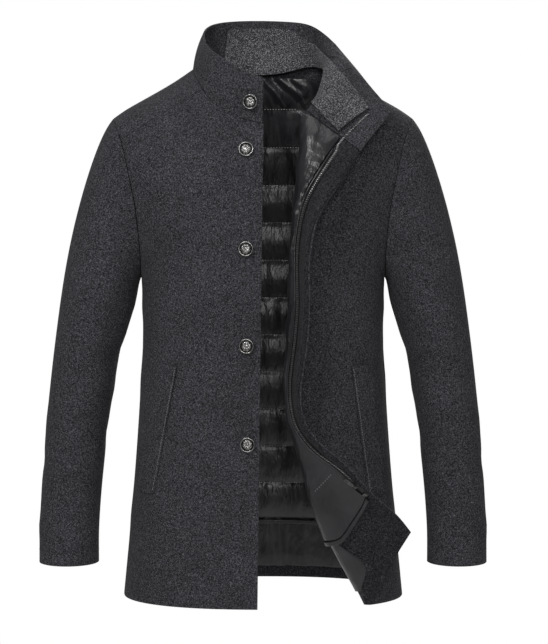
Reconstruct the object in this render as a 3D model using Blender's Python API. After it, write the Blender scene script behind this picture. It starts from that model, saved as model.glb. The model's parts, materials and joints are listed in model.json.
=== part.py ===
"""Wool car coat with a zip-in quilted liner, filled out as if worn.

Metres, +Z up, the front faces -Y. The origin is the middle of the neck base, between the
shoulders. Lengths in the tables are millimetres. Every cloth piece is a wall laid on a grid of
points: rows run up the coat, and columns run round it from the centre front over the wearer's
right side (-X), the back and the left side (+X), so all walls agree on which face is outside.
"""
import math

import bpy
import numpy as np

MM = 0.001

# Cloth, millimetres
WOOL = 2.5
FACING = 1.5
SATIN = 1.2
SEAM = 0.4
LAYER_GAP = 0.4
QUILT_BASE = 2.0
QUILT_PUFF = 5.0
QUILT_PITCH = 57.0

# Heights, millimetres from the neck base
HEM = -760.0
UNDERARM = -300.0
CHEST = -181.0
LINER_HEM = -668.0
LINER_TOP = 8.0

# Rows of points up a body panel: hem to underarm, underarm to yoke; columns along the seams
ROWS_BELOW = 16
ROWS_ABOVE = 8
YOKE_COLUMNS = 7
YOKE_ACROSS = 4
NECK_COLUMNS = 5
BACK_NECK_COLUMNS = 4

# Horizontal sections of the body: height, half width, depth in front, depth behind, squareness
BODY_SECTIONS = (
    (-760, 207, 133, 131, 2.30),
    (-625, 194, 133, 126, 2.30),
    (-464, 182, 131, 119, 2.30),
    (-375, 177.5, 129, 118, 2.30),
    (-300, 179.5, 128, 120, 2.30),
    (-264, 186, 127, 121, 2.30),
    (-227, 195, 126, 122, 2.30),
    (-181, 208, 122, 121, 2.30),
    (-125, 224, 113, 114, 2.25),
    (-88, 232, 104, 106, 2.15),
    (-62, 231, 94, 100, 2.10),
    (-44, 214, 84, 95, 2.05),
    (-27, 183, 76, 90, 2.05),
    (-9, 147, 68, 84, 2.05),
    (9, 116, 60, 80, 2.05),
    (18, 103, 55, 78, 2.05),
    (32, 90, 48, 74, 2.05),
)

# Armhole seam: height, distance from the centre line
ARMHOLE = (
    (-300, 179.5),
    (-264, 177.6),
    (-227, 179.8),
    (-181, 185.0),
    (-126, 196.6),
    (-89.6, 205.0),
    (-50, 222.7),
)
YOKE_HEIGHT = -89.6

# Neck seam from the centre front to the centre back: place, distance out, height
NECKLINE = (
    (0.0, 0.0, -67.7),
    (1.0, 33.0, -60.6),
    (2.0, 54.5, -50.0),
    (3.5, 76.0, -32.5),
    (5.0, 87.0, -17.0),
    (6.0, 97.0, 1.0),
    (7.0, 105.0, 16.4),
    (8.0, 98.5, 16.2),
    (9.0, 88.0, 16.0),
    (11.0, 46.0, 15.5),
    (13.0, 0.0, 15.0),
)
NECK_YOKE_FRONT = 5.0
NECK_SIDE = 7.0
NECK_YOKE_BACK = 9.0
NECK_CENTRE_BACK = 13.0

# Top edge of the collar's right half, from its free edge to the centre back: place, x, y, z
COLLAR_RIM = (
    (0.0, 1.4, -99, -2),
    (1.0, -18.6, -99, 2),
    (2.0, -36.0, -93, 13),
    (3.5, -69.0, -64, 34),
    (5.0, -83.0, -32, 50),
    (6.0, -88.0, -4, 62),
    (7.0, -88.0, 18, 71),
    (8.0, -83.5, 40, 79),
    (9.0, -74.0, 57, 85),
    (11.0, -41.0, 82, 91),
    (13.0, 0.0, 90, 92),
)

# Top edge of the opened left half, from the centre back to its free edge: place, x, y, z, then
# how far the middle of the collar stands out of a straight line from seam to edge
OPEN_RIM = (
    (0.0, 0.0, 90, 92, 3),
    (2.0, 41.0, 82, 90, 3),
    (4.0, 76.0, 60, 82, 1),
    (5.0, 93.0, 40, 68, -6),
    (6.0, 106.0, 20, 51, -12),
    (7.0, 120.0, -4, 29, -16),
    (8.0, 135.0, -24, 7, -18),
    (9.5, 155.0, -50, -20, -16),
    (11.0, 171.0, -70, -40, -9),
    (12.0, 182.0, -84, -56, -4),
)

# The rolled and folded left front. Each row is a place up the roll line: height of the roll,
# x of the roll, then the point of the free edge (or of the folded hem) that lies across from it
OPEN_FRONT = (
    (-760, 147, 154, -116, -751),
    (-729, 133, 168, -121, -720),
    (-698, 116, 189, -124, -684),
    (-667, 100, 211, -124, -649),
    (-636, 86, 190, -134, -621),
    (-605, 76, 170, -146, -604),
    (-573, 68, 149, -158, -584),
    (-542, 60, 121, -170, -547),
    (-511, 52, 88, -179, -522),
    (-480, 45, 60, -184, -492),
    (-448, 42, 53, -187, -455),
    (-386, 44, 62, -187, -390),
    (-324, 47, 67, -187, -331),
    (-234, 50, 67, -186, -251),
    (-177, 55, 78, -177, -200),
    (-120, 60, 108, -157, -155),
    (-36, 64, 136, -122, -110),
)
ROLL_RADIUS = 12.0
ROLL_COLUMNS = 6
FLAP_COLUMNS = 6

# Zip line on the flap: row up the roll line, distance in from the free edge
ZIP_LINE = (
    (5.5, 6),
    (7, 18),
    (8, 26),
    (9, 32),
    (10, 38),
    (12, 36),
    (14, 33),
    (17, 40),
    (19, 38),
    (21, 36),
    (24, 32),
)

ZIP_TAPE = 9.0
ZIP_ROWS = (5.9, 6.5, 7, 7.5, 8, 8.5)
ZIP_TOP_ROW = 22.8
ZIP_CLEAR_OF_ROLL = 6.0
TAPE_THICK = 0.8

# Lower edges on the flap: row at the roll and row at the free edge or the zip
CORNER_ROW = 3.55
FACING_CORNER_ROWS = (CORNER_ROW, 1.25)
FACING_CORNER_BEND = 1.9
FACING_ROLL_REACH = 1.6
LINER_CORNER_ROWS = (3.3, 5.7)
SQUARE_ROW = 7
LINER_PLAIN_ROWS = 8
LINER_TUCK_COLUMNS = 2
CORNER_LINING_ROWS = (0.75, 1.0, 1.5, 2.0, 2.5, 3.0, 3.5, 4.0)
TURNUP_REACH = (20.0, 7.0)
TURNUP_LEFT_ROWS = (0.02, 0.5, 1.0, 1.3, 1.55)
FLAP_GAP = 1.8
LINER_EASE = 0.8
ZIP_TO_LINER = 2.5
ZIP_TO_CHAIN = 4.5

# Air between the back and its quilted liner, and the loose lining under the liner's hem
LINER_AIR = 5.0
LINING_DEPTHS = ((0.55, 5.0), (1.0, 6.4), (1.6, 5.2), (2.4, 5.7), (4.5, 5.5))
HEM_TURNUP_ROWS = (0.02, 0.7, 1.35)
BINDING_WIDTH = 7.0
BINDING_LEFT_DROPS = (0.24, 0.04)
BINDING_THICK = 4.0

# Inner collar: part of the outer collar's height, and its distance inside it
INNER_COLLAR_LOW = ((0.0, -0.1), (0.2, -0.1), (0.34, 0.07), (0.48, 0.16), (0.6, 0.12), (1.0, 0.07))
INNER_COLLAR_HIGH = 0.84
INNER_COLLAR_DEPTHS = ((0.0, 4.0), (0.15, 8.0), (0.5, 8.0), (0.7, 3.0), (1.0, 1.4))
INNER_COLLAR_THICK = 3.0
INNER_COLLAR_START = 10.3
INNER_COLLAR_SHORT = 37.0
INNER_COLLAR_COLUMNS = 20

WELT_THICK = 2.2

# Zip hardware
SLIDER_ROW = 6.35
SLIDER_WIDTH = 8.0
SLIDER_LENGTH = 11.0
SLIDER_HEIGHT = 3.5
LUG_GAP = 4.0
LUG_THICK = 1.2
LUG_LENGTH = 4.0
LUG_HEIGHT = 3.0
KNUCKLE_RADIUS = 1.3
HINGE_CLEARANCE = 0.4
TAB_THICK = 1.4
TAB_WIDTH = 6.0
TAB_NECK = 3.4
TAB_LENGTH = 19.0
TAB_LIFT = 8.0
BOX_ROW = 5.95
BOX_SIZE = 7.0

COLLAR_ROWS = 4
COLLAR_FULLNESS = 3.0
OPEN_LIFT = (2.0, -2.0, 2.0)

# Sleeve sections: height, distance out of the centre, y of the centre, half width, half depth
SLEEVE_SECTIONS = (
    (-708, 285.5, -30, 44.5, 47),
    (-693, 286, -29, 44.3, 47),
    (-622, 283.5, -24, 44.5, 50),
    (-551, 278, -18, 45.5, 54),
    (-480, 270.5, -13, 46.5, 58),
    (-410, 260.5, -8, 48.5, 63),
    (-374, 254.5, -5, 49.8, 66),
    (-318, 242.5, -2, 53.5, 70),
)
SLEEVE_ROWS = 9
CAP_ROWS = 6
SLEEVE_TILT = 17.0

# Elbow creases of a sleeve: height, degrees round from the inner side towards the front, depth
SLEEVE_CREASES = (
    (-405, 20, 3.0),
    (-452, 35, 2.6),
    (-505, 15, 2.2),
    (-395, -40, 2.0),
    (-470, -30, 2.4),
)
CREASE_HEIGHT = 15.0
CREASE_SPREAD = 40.0

# Pocket welts: side, top inner x, top outer x, top height, bottom inner x, bottom outer x, height
WELTS = (
    ("right", -1, 122, 151, -412, 156, 178, -600),
    ("left", 1, 127, 157, -414, 152, 175, -602),
)

# Buttons: place out of the centre line, height; the first sits on the collar
BUTTONS = ((-17.5, -36), (-23.5, -105), (-23.5, -245), (-22.6, -383), (-21.3, -523))
BUTTON_RADIUS = 10.8
BUTTON_SIDES = 20
# Button profile from the centre out: part of the radius, height over the cloth
BUTTON_PROFILE = (
    (0.0, 5.6),
    (0.35, 5.4),
    (0.62, 4.6),
    (0.70, 4.1),
    (0.78, 5.1),
    (0.9, 5.5),
    (1.0, 4.4),
    (0.96, 2.3),
)
SHANK_RADIUS = 4.5
FIRST_BUTTON_LIFT = 2.0
# Row up the collar and column in from its end, where the first button sits
FIRST_BUTTON_PLACE = (1.7, 0.61)


# ---------------------------------------------------------------- curves through short tables

def smooth_table(rows):
    """A smooth curve through a table whose first column rises: place -> the other columns."""
    table = np.array(rows, float)
    knots, values = table[:, 0], table[:, 1:]
    slopes = np.gradient(values, knots, axis=0)

    def at(place):
        place = min(max(place, knots[0]), knots[-1])
        i = min(max(int(np.searchsorted(knots, place)) - 1, 0), len(knots) - 2)
        span = knots[i + 1] - knots[i]
        f = (place - knots[i]) / span
        rise = f * f * (3 - 2 * f)
        leave = f * (1 - f) ** 2 * span
        arrive = -f * f * (1 - f) * span
        return (values[i] * (1 - rise) + values[i + 1] * rise
                + slopes[i] * leave + slopes[i + 1] * arrive)

    return at


body_section = smooth_table(BODY_SECTIONS)
armhole_reach = smooth_table(ARMHOLE)
neckline = smooth_table(NECKLINE)
collar_rim = smooth_table(COLLAR_RIM)
open_rim = smooth_table(OPEN_RIM)
open_front = smooth_table(OPEN_FRONT)
zip_line = smooth_table(ZIP_LINE)
sleeve_section = smooth_table(SLEEVE_SECTIONS)


def blend(a, b, f):
    return a + (b - a) * f


def unit(v):
    return v / max(np.linalg.norm(v), 1e-9)


# ---------------------------------------------------------------- the body's surface

def body_depth(x, z, face):
    """y of the body at x and height z, in front (face -1) or behind (face 1)."""
    half_width, front, back, power = body_section(z)
    reach = min(abs(x) / half_width, 1.0)
    return face * (front if face < 0 else back) * (1 - reach ** power) ** (1 / power)


def body_point(girth, z):
    """Point of the body: girth 0 centre front, 1 side, 2 centre back; negative on the -X side.

    Above the chest a girth keeps its distance from the centre line, so columns run straight up.
    """
    half_width, _, _, power = body_section(min(z, CHEST))
    turn = math.radians(90 * girth)
    out, ahead = math.sin(turn), math.cos(turn)
    x = math.copysign(abs(out) ** (2 / power), out) * half_width
    return np.array((x, body_depth(x, z, -1 if ahead > 0 else 1), z))


def girth_at(x, z, face=-1):
    """Girth of the point at x and height z."""
    half_width, _, _, power = body_section(min(z, CHEST))
    reach = min(abs(x) / half_width, 1.0)
    girth = math.degrees(math.asin(reach ** (power / 2))) / 90
    return math.copysign(girth if face < 0 else 2 - girth, x if x else 1)


def body_normal(point):
    """Outward direction of the body's surface at a point of it."""
    def fullness(x, y, z):
        half_width, front, back, power = body_section(z)
        return (abs(x) / half_width) ** power + (abs(y) / (front if y < 0 else back)) ** power

    x, y, z = point
    step = 0.5
    slope = [fullness(x + step, y, z) - fullness(x - step, y, z),
             fullness(x, y + step, z) - fullness(x, y - step, z),
             fullness(x, y, z + step) - fullness(x, y, z - step)]
    return unit(np.array(slope))


def body_normals(grid):
    return np.array([[body_normal(p) for p in row] for row in grid])


def shoulder_height(x, y):
    """Height of the shoulder's surface over a point, found by halving."""
    face = -1 if y < 0 else 1
    low, high = -130.0, 32.0
    for _ in range(40):
        middle = (low + high) / 2
        if abs(body_depth(x, middle, face)) > abs(y) or (y == 0 and body_section(middle)[0] > abs(x)):
            low = middle
        else:
            high = middle
    return low


def panel_rows():
    """Heights of a panel's rows at its side seam, as parts of the way from hem to yoke."""
    below = np.linspace(HEM, UNDERARM, ROWS_BELOW + 1)
    above = np.linspace(UNDERARM, YOKE_HEIGHT, ROWS_ABOVE + 1)[1:]
    return (np.concatenate([below, above]) - HEM) / (YOKE_HEIGHT - HEM)


ROWS = panel_rows()


def side_edge(part, side, face):
    """(girth, height) of a panel's outer edge: the side seam, then the armhole."""
    z = blend(HEM, YOKE_HEIGHT, part)
    if z <= UNDERARM + 0.01:
        return np.array((side * 1.0, z))
    return np.array((girth_at(side * armhole_reach(z)[0], z, face), z))


def yoke_seam(part, side, face):
    """(x, z) along a yoke seam, from the neck out to the armhole."""
    place = NECK_YOKE_FRONT if face < 0 else NECK_YOKE_BACK
    near_x, near_z = neckline(place)
    far_x, far_z = armhole_reach(YOKE_HEIGHT)[0], YOKE_HEIGHT
    return side * blend(near_x, far_x, part), blend(near_z, far_z, part)


def neck_point(place, side):
    """(x, z, face) of the neck seam at a place of its table."""
    x, z = neckline(place)
    return side * x, z, (-1 if place <= NECK_SIDE else 1)


def surface_grid(top, inner_edge, outer_edge):
    """Points of a panel that hangs from the (girth, height) points in top.

    Straight lines run from each top point to the hem; the two edges bend them to their own course.
    """
    count = len(top) - 1
    hem_inner, hem_outer = inner_edge(0.0)[0], outer_edge(0.0)[0]
    grid = []
    for part in ROWS:
        line = []
        for j, (girth, height) in enumerate(top):
            across = j / count
            line.append(blend(np.array((blend(hem_inner, hem_outer, across), HEM)),
                              np.array((girth, height)), part))
        inner_pull = inner_edge(part) - line[0]
        outer_pull = outer_edge(part) - line[-1]
        row = [body_point(*(p + inner_pull * (1 - j / count) + outer_pull * (j / count)))
               for j, p in enumerate(line)]
        grid.append(row)
    return np.array(grid)


# ---------------------------------------------------------------- making solids

def material(name, colour, roughness, metallic=0.0):
    made = bpy.data.materials.new(name)
    made.use_nodes = True
    shader = made.node_tree.nodes["Principled BSDF"]
    shader.inputs["Base Color"].default_value = (*colour, 1.0)
    shader.inputs["Roughness"].default_value = roughness
    shader.inputs["Metallic"].default_value = metallic
    made.diffuse_color = (*colour, 1.0)
    return made


def add_object(name, points, faces, finish):
    mesh = bpy.data.meshes.new(name)
    mesh.from_pydata([tuple(p) for p in np.asarray(points) * MM], [], faces)
    mesh.materials.append(MATERIALS[finish])
    mesh.shade_smooth()
    mesh.set_sharp_from_angle(angle=math.radians(50))
    mesh.validate()
    made = bpy.data.objects.new(name, mesh)
    bpy.context.scene.collection.objects.link(made)
    return made


def grid_normals(grid, ring=False):
    """Outward directions at the points of a grid; ring joins the last column to the first."""
    up = np.gradient(grid, axis=0)
    if ring:
        along = np.roll(grid, -1, axis=1) - np.roll(grid, 1, axis=1)
    else:
        along = np.gradient(grid, axis=1)
    normals = np.cross(up, along)
    return normals / np.maximum(np.linalg.norm(normals, axis=2, keepdims=True), 1e-9)


def wall(name, grid, outside, inside, finish, ring=False, normals=None):
    """Closed wall on a grid: one face lies outside millimetres out of it, the other inside in."""
    rows, columns = grid.shape[:2]
    if normals is None:
        normals = grid_normals(grid, ring)
    outside = np.broadcast_to(np.asarray(outside, float), (rows, columns))[..., None]
    inside = np.broadcast_to(np.asarray(inside, float), (rows, columns))[..., None]
    outer = grid + normals * outside
    inner = grid - normals * inside
    points = np.concatenate([outer.reshape(-1, 3), inner.reshape(-1, 3)])
    size = rows * columns
    faces = []

    def corner(i, j, layer):
        return layer * size + i * columns + j % columns

    def quad(a, b, c, d):
        faces.extend([(a, b, c), (a, c, d)])

    spans = columns if ring else columns - 1
    for i in range(rows - 1):
        for j in range(spans):
            a, b = corner(i, j, 0), corner(i + 1, j, 0)
            c, d = corner(i + 1, j + 1, 0), corner(i, j + 1, 0)
            quad(a, b, c, d)
            faces.extend([(a + size, c + size, b + size), (a + size, d + size, c + size)])
    for j in range(spans):
        quad(corner(0, j, 0), corner(0, j + 1, 0), corner(0, j + 1, 1), corner(0, j, 1))
        last = rows - 1
        quad(corner(last, j, 0), corner(last, j, 1), corner(last, j + 1, 1), corner(last, j + 1, 0))
    if not ring:
        for i in range(rows - 1):
            quad(corner(i, 0, 0), corner(i, 0, 1), corner(i + 1, 0, 1), corner(i + 1, 0, 0))
            end = columns - 1
            quad(corner(i, end, 0), corner(i + 1, end, 0), corner(i + 1, end, 1), corner(i, end, 1))
    return add_object(name, points, faces, finish)


def inset(grid, rows=(0, 0), columns=(0, 0)):
    """The same grid with its first and last row or column drawn back by millimetres."""
    grid = grid.copy()
    for end, amount in zip((0, -1), rows):
        if amount:
            step = grid[1 if end == 0 else -2] - grid[end]
            grid[end] += step / np.linalg.norm(step, axis=1, keepdims=True) * amount
    for end, amount in zip((0, -1), columns):
        if amount:
            step = grid[:, 1 if end == 0 else -2] - grid[:, end]
            grid[:, end] += step / np.linalg.norm(step, axis=1, keepdims=True) * amount
    return grid


def frame_at(centre, up, normal):
    """Matrix whose columns are across, up and normal, for small pieces on the cloth."""
    normal = unit(normal)
    across = unit(np.cross(up, normal))
    return np.array(centre), np.column_stack([across, np.cross(normal, across), normal])


def block(name, place, low, high, finish, taper=0.0):
    """Box in the local frame of place, its top drawn in by taper."""
    centre, axes = place
    points = []
    for z, draw in ((low[2], 0.0), (high[2], taper)):
        points += [(low[0] + draw, low[1] + draw, z), (high[0] - draw, low[1] + draw, z),
                   (high[0] - draw, high[1] - draw, z), (low[0] + draw, high[1] - draw, z)]
    faces = [(0, 3, 2, 1), (4, 5, 6, 7)] + [(i, (i + 1) % 4, (i + 1) % 4 + 4, i + 4) for i in range(4)]
    return add_object(name, centre + np.array(points) @ axes.T, faces, finish)


def union(name, pieces):
    """One solid from pieces that overlap."""
    first = pieces[0]
    first.name = name
    for other in pieces[1:]:
        joiner = first.modifiers.new("join", "BOOLEAN")
        joiner.operation = "UNION"
        joiner.solver = "EXACT"
        joiner.object = other
    evaluated = first.evaluated_get(bpy.context.evaluated_depsgraph_get())
    mesh = bpy.data.meshes.new_from_object(evaluated)
    first.modifiers.clear()
    first.data = mesh
    for other in pieces[1:]:
        bpy.data.objects.remove(other)
    return first


# ---------------------------------------------------------------- the shell

def neck_stations(first, last, count):
    return np.linspace(first, last, count + 1)


def right_front_grid():
    def free_edge(part):
        z = blend(HEM, neckline(0)[1], part)
        return np.array((girth_at(blend(7.4, -1.4, part), z) * -1, z))

    top = []
    for place in neck_stations(0.0, NECK_YOKE_FRONT, NECK_COLUMNS):
        x, z, _ = neck_point(place, -1)
        top.append((girth_at(x, z) if place else free_edge(1.0)[0], z))
    for j in range(1, YOKE_COLUMNS + 1):
        x, z = yoke_seam(j / YOKE_COLUMNS, -1, -1)
        top.append((girth_at(x, z), z))
    return surface_grid(top, free_edge, lambda part: side_edge(part, -1, -1))


def back_grid():
    top = []
    for j in range(YOKE_COLUMNS, 0, -1):
        x, z = yoke_seam(j / YOKE_COLUMNS, -1, 1)
        top.append((girth_at(x, z, 1), z))
    places = neck_stations(NECK_YOKE_BACK, NECK_CENTRE_BACK, BACK_NECK_COLUMNS)
    for place in places:
        x, z, _ = neck_point(place, -1)
        top.append((girth_at(x, z, 1) if place < NECK_CENTRE_BACK else -2.0, z))
    half = len(top)
    top += [(-4 - girth, z) for girth, z in reversed(top[:-1])]
    assert len(top) == 2 * half - 1

    def left_edge(part):
        girth, z = side_edge(part, -1, 1)
        return np.array((-4 - girth, z))

    return surface_grid(top, lambda part: side_edge(part, -1, 1), left_edge)


def roll_frame(x, z):
    """Where the left front leaves the body to roll: point, outward and round directions."""
    normal = body_normal((x, body_depth(x, z, -1), z))
    x += ROLL_RADIUS * (1 - normal[0])
    start = np.array((x, body_depth(x, z, -1), z))
    normal = body_normal(start)
    around = unit(np.cross((0.0, 0.0, -1.0), normal))
    return start, normal, around


def flap_columns(part):
    """Roll and flap of the left front at a part of the way up: points from the body to the edge."""
    top_roll = OPEN_FRONT[-1][0]
    z = blend(HEM, top_roll, part)
    roll_x, *edge = open_front(z)
    edge = np.array(edge)
    start, normal, around = roll_frame(roll_x, z)
    centre = start + normal * ROLL_RADIUS
    reach = edge - centre
    on_around, on_normal = reach @ around, reach @ normal
    distance = math.hypot(on_around, on_normal)
    heading = math.atan2(on_around, -on_normal) % (2 * math.pi)
    sweep = heading - math.acos(min(ROLL_RADIUS / distance, 0.999))
    straight = math.sqrt(max(distance ** 2 - ROLL_RADIUS ** 2, 1.0))
    bend = ROLL_RADIUS * sweep
    rise = edge[2] - z
    points = []
    for i in range(1, ROLL_COLUMNS + 1):
        turn = sweep * i / ROLL_COLUMNS
        p = centre + ROLL_RADIUS * (around * math.sin(turn) - normal * math.cos(turn))
        p[2] = z + rise * (bend * i / ROLL_COLUMNS) / (bend + straight)
        points.append(p)
    end = points[-1]
    for i in range(1, FLAP_COLUMNS + 1):
        points.append(blend(end, edge, i / FLAP_COLUMNS))
    return start, np.array(points)


def left_front_grid():
    """The left front: its body part, then the roll and the flap, side seam to free edge."""
    def roll_edge(part):
        start, _ = flap_columns(part)
        return np.array((girth_at(start[0], start[2]), start[2]))

    top = []
    for j in range(YOKE_COLUMNS, 0, -1):
        x, z = yoke_seam(j / YOKE_COLUMNS, 1, -1)
        top.append((girth_at(x, z), z))
    x, z, _ = neck_point(NECK_YOKE_FRONT, 1)
    top.append((girth_at(x, z), z))
    top.append(tuple(roll_edge(1.0)))
    body = surface_grid(top, lambda part: side_edge(part, 1, -1), roll_edge)
    flap = np.array([flap_columns(part)[1] for part in ROWS])
    return np.concatenate([body, flap], axis=1)


def left_front_normals(left):
    """The body's own directions on the body part, the grid's on the roll and flap."""
    normals = grid_normals(left)
    body_columns = left.shape[1] - ROLL_COLUMNS - FLAP_COLUMNS
    normals[:, :body_columns] = body_normals(left[:, :body_columns])
    return normals


def build_body_panels():
    edge = SEAM / 2
    right = right_front_grid()
    wall("front_right", inset(right, (0, edge), (0, edge)), 0, WOOL, "wool",
         normals=body_normals(right))
    back = back_grid()
    wall("back", inset(back, (0, edge), (edge, edge)), 0, WOOL, "wool",
         normals=body_normals(back))
    left = left_front_grid()
    wall("front_left", inset(left, (0, edge), (edge, 0)), 0, WOOL, "wool",
         normals=left_front_normals(left))
    return right, back, left


def yoke_grid(side):
    """Yoke over a shoulder: rows from the neck to the armhole, columns from front to back."""
    neck = [neck_point(p, side) for p in neck_stations(NECK_YOKE_FRONT, NECK_YOKE_BACK, YOKE_ACROSS)]
    neck = [(x, body_depth(x, z, face)) for x, z, face in neck]
    arm = []
    for point in armhole_loop(side)[ROWS_ABOVE:ROWS_ABOVE + YOKE_ACROSS + 1]:
        arm.append((point[0], point[1]))
    grid = []
    for i in range(YOKE_COLUMNS + 1):
        out = i / YOKE_COLUMNS
        row = []
        for j in range(YOKE_ACROSS + 1):
            ahead = j <= YOKE_ACROSS // 2
            face = -1 if ahead else 1
            end = 0 if ahead else -1
            seam_x, seam_z = yoke_seam(out, side, face)
            seam_y = body_depth(seam_x, seam_z, face)
            x = seam_x + blend(neck[j][0] - neck[end][0], arm[j][0] - arm[end][0], out)
            y = seam_y * blend(neck[j][1] / neck[end][1], arm[j][1] / arm[end][1], out)
            if j in (0, YOKE_ACROSS):
                z = seam_z
            else:
                z = shoulder_height(x, y)
            row.append((x, y, z))
        grid.append(row)
    return np.array(grid)


def armhole_loop(side):
    """Points of the armhole seam from the underarm up the front, over the yoke, down the back."""
    heights = [blend(HEM, YOKE_HEIGHT, part) for part in ROWS[ROWS_BELOW:]]
    tip = ARMHOLE[-1][0]
    half = YOKE_ACROSS // 2
    ridge = [blend(YOKE_HEIGHT, tip, i / half) for i in range(1, half)]
    loop = []
    for face in (-1, 1):
        run = [(side * armhole_reach(z)[0], z, face) for z in heights + ridge]
        run = [np.array((x, body_depth(x, z, f), z)) for x, z, f in run]
        run[0][0] = side * body_section(UNDERARM)[0]
        run[0][1] = 0.0
        loop.append(run)
    top = np.array((side * ARMHOLE[-1][1], 0.0, shoulder_height(ARMHOLE[-1][1], 0.0)))
    return np.array(loop[0] + [top] + loop[1][:0:-1])


def build_yokes():
    edge = SEAM / 2
    for name, side in (("yoke_right", -1), ("yoke_left", 1)):
        grid = yoke_grid(side)
        if side < 0:
            grid = grid[::-1]
        wall(name, inset(grid, (edge, edge), (edge, edge)), 0, WOOL, "wool",
             normals=body_normals(grid))


def sleeve_ring(z, side, count, tilt=0.0):
    """Ring of a sleeve, from its inner side round by the front."""
    out, y, half_width, half_depth = sleeve_section(z)
    ring = []
    for k in range(count):
        turn = 2 * math.pi * k / count
        crease = 0.0
        for height, round_to, depth in SLEEVE_CREASES:
            off = math.degrees(turn) - round_to
            off = (off + 180) % 360 - 180
            crease += depth * math.exp(-((z - height) / CREASE_HEIGHT) ** 2 - (off / CREASE_SPREAD) ** 2)
        x = out - (half_width - crease) * math.cos(turn)
        ring.append((side * x, y - (half_depth - crease) * math.sin(turn), z - tilt * math.cos(turn)))
    return np.array(ring)


def sleeve_grid(side):
    """Sleeve from the cuff to the armhole seam."""
    loop = armhole_loop(side)
    count = len(loop)
    cuff, cap = SLEEVE_SECTIONS[0][0], SLEEVE_SECTIONS[-1][0]
    rows = []
    for i in range(SLEEVE_ROWS + 1):
        up = i / SLEEVE_ROWS
        rows.append(sleeve_ring(blend(cuff, cap, up), side, count, SLEEVE_TILT * up ** 2))
    below = rows[-2]
    start = rows[-1]
    for i in range(1, CAP_ROWS + 1):
        f = i / CAP_ROWS
        ring = []
        for k in range(count):
            leave = unit(start[k] - below[k])
            span = np.linalg.norm(loop[k] - start[k])
            top = (1 - math.cos(2 * math.pi * k / count)) / 2
            turn_out = unit(np.array((side * 0.9, loop[k][1] / 160, -0.25 - 0.25 * top)))
            end = loop[k] + turn_out * SEAM
            a = start[k] + leave * span * 0.42
            b = end + turn_out * (5 + 16 * top)
            ring.append((1 - f) ** 3 * start[k] + 3 * f * (1 - f) ** 2 * a
                        + 3 * f * f * (1 - f) * b + f ** 3 * end)
        rows.append(np.array(ring))
    grid = np.array(rows)
    return grid if side < 0 else grid[:, ::-1]


def build_sleeves():
    for name, side in (("sleeve_right", -1), ("sleeve_left", 1)):
        wall(name, sleeve_grid(side), 0, WOOL, "wool", ring=True)


# ---------------------------------------------------------------- the collar

def collar_strip(base, rim, fullness):
    """Grid of a collar between its base and rim; fullness pushes the middle of it out."""
    base, rim = np.array(base), np.array(rim)
    grid = np.array([blend(base, rim, i / COLLAR_ROWS) for i in range(COLLAR_ROWS + 1)])
    arch = np.sin(np.linspace(0, math.pi, COLLAR_ROWS + 1)).clip(0) ** 0.75
    swell = arch[:, None] * np.array(fullness)
    return grid + grid_normals(grid) * swell[..., None]


def neck_base(place):
    x, z, face = neck_point(place, -1)
    return np.array((x, body_depth(x, z, face), z))


def collar_grid(left):
    """The whole collar, from its right free edge round the back to its opened left free edge."""
    front = list(neck_stations(0.0, NECK_YOKE_FRONT, NECK_COLUMNS))
    side = list(neck_stations(NECK_YOKE_FRONT, NECK_YOKE_BACK, YOKE_ACROSS))[1:]
    rear = list(neck_stations(NECK_YOKE_BACK, NECK_CENTRE_BACK, BACK_NECK_COLUMNS))[1:]
    right_half = front + side + rear
    base = [neck_base(p) for p in right_half]
    rim = [(*collar_rim(p), COLLAR_FULLNESS) for p in right_half]
    left_back = list(reversed((front[-1:] + side + rear)[:-1]))
    base += [neck_base(p) * (-1, 1, 1) for p in left_back]
    rim += [open_rim(NECK_CENTRE_BACK - p) for p in left_back]
    opened = left[-1][YOKE_COLUMNS:]
    steps = np.linalg.norm(np.diff(opened, axis=0), axis=1)
    along = np.cumsum(steps) / steps.sum()
    base += list(opened[1:])
    seam_place = NECK_CENTRE_BACK - NECK_YOKE_FRONT
    rim += [open_rim(blend(seam_place, OPEN_RIM[-1][0], a)) for a in along]
    rim = np.array(rim)
    grid = collar_strip(base, rim[:, :3], rim[:, 3])
    grid[:, len(right_half) + len(left_back) - 2] += np.array(OPEN_LIFT) / 2
    grid[:, len(right_half) + len(left_back) - 1:] += OPEN_LIFT
    return grid, len(front) - 1, len(front) - 1 + len(left_back) * 2


def build_collar(left):
    """The collar in three parts, cut at the two seams that meet the yokes."""
    edge = SEAM / 2
    grid, right_seam, left_seam = collar_grid(left)
    normals = grid_normals(grid)
    normals[0, left_seam:] = left_front_normals(left)[-1, YOKE_COLUMNS:]
    parts = (("collar_right", 0, right_seam, 0, edge),
             ("collar_back", right_seam, left_seam, edge, 2 * edge),
             ("collar_left", left_seam, grid.shape[1] - 1, 3 * edge, 0))
    for name, first, last, draw_first, draw_last in parts:
        columns = slice(first, last + 1)
        wall(name, inset(grid[:, columns], (SEAM, 0), (draw_first, draw_last)), 0, WOOL, "wool",
             normals=normals[:, columns])
    return grid, normals


# ---------------------------------------------------------------- pieces laid on a panel

def sample(grid, row, column):
    """Point of a grid between its rows and columns."""
    i = min(int(row), grid.shape[0] - 2)
    j = min(int(column), grid.shape[1] - 2)
    f, g = row - i, column - j
    low = blend(grid[i, j], grid[i, j + 1], g)
    high = blend(grid[i + 1, j], grid[i + 1, j + 1], g)
    return blend(low, high, f)


def lay_on(grid, normals, places):
    """Points and directions of a panel at rows of (row, column) places."""
    points = np.array([[sample(grid, i, j) for i, j in row] for row in places])
    out = np.array([[unit(sample(normals, i, j)) for i, j in row] for row in places])
    return points, out


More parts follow.
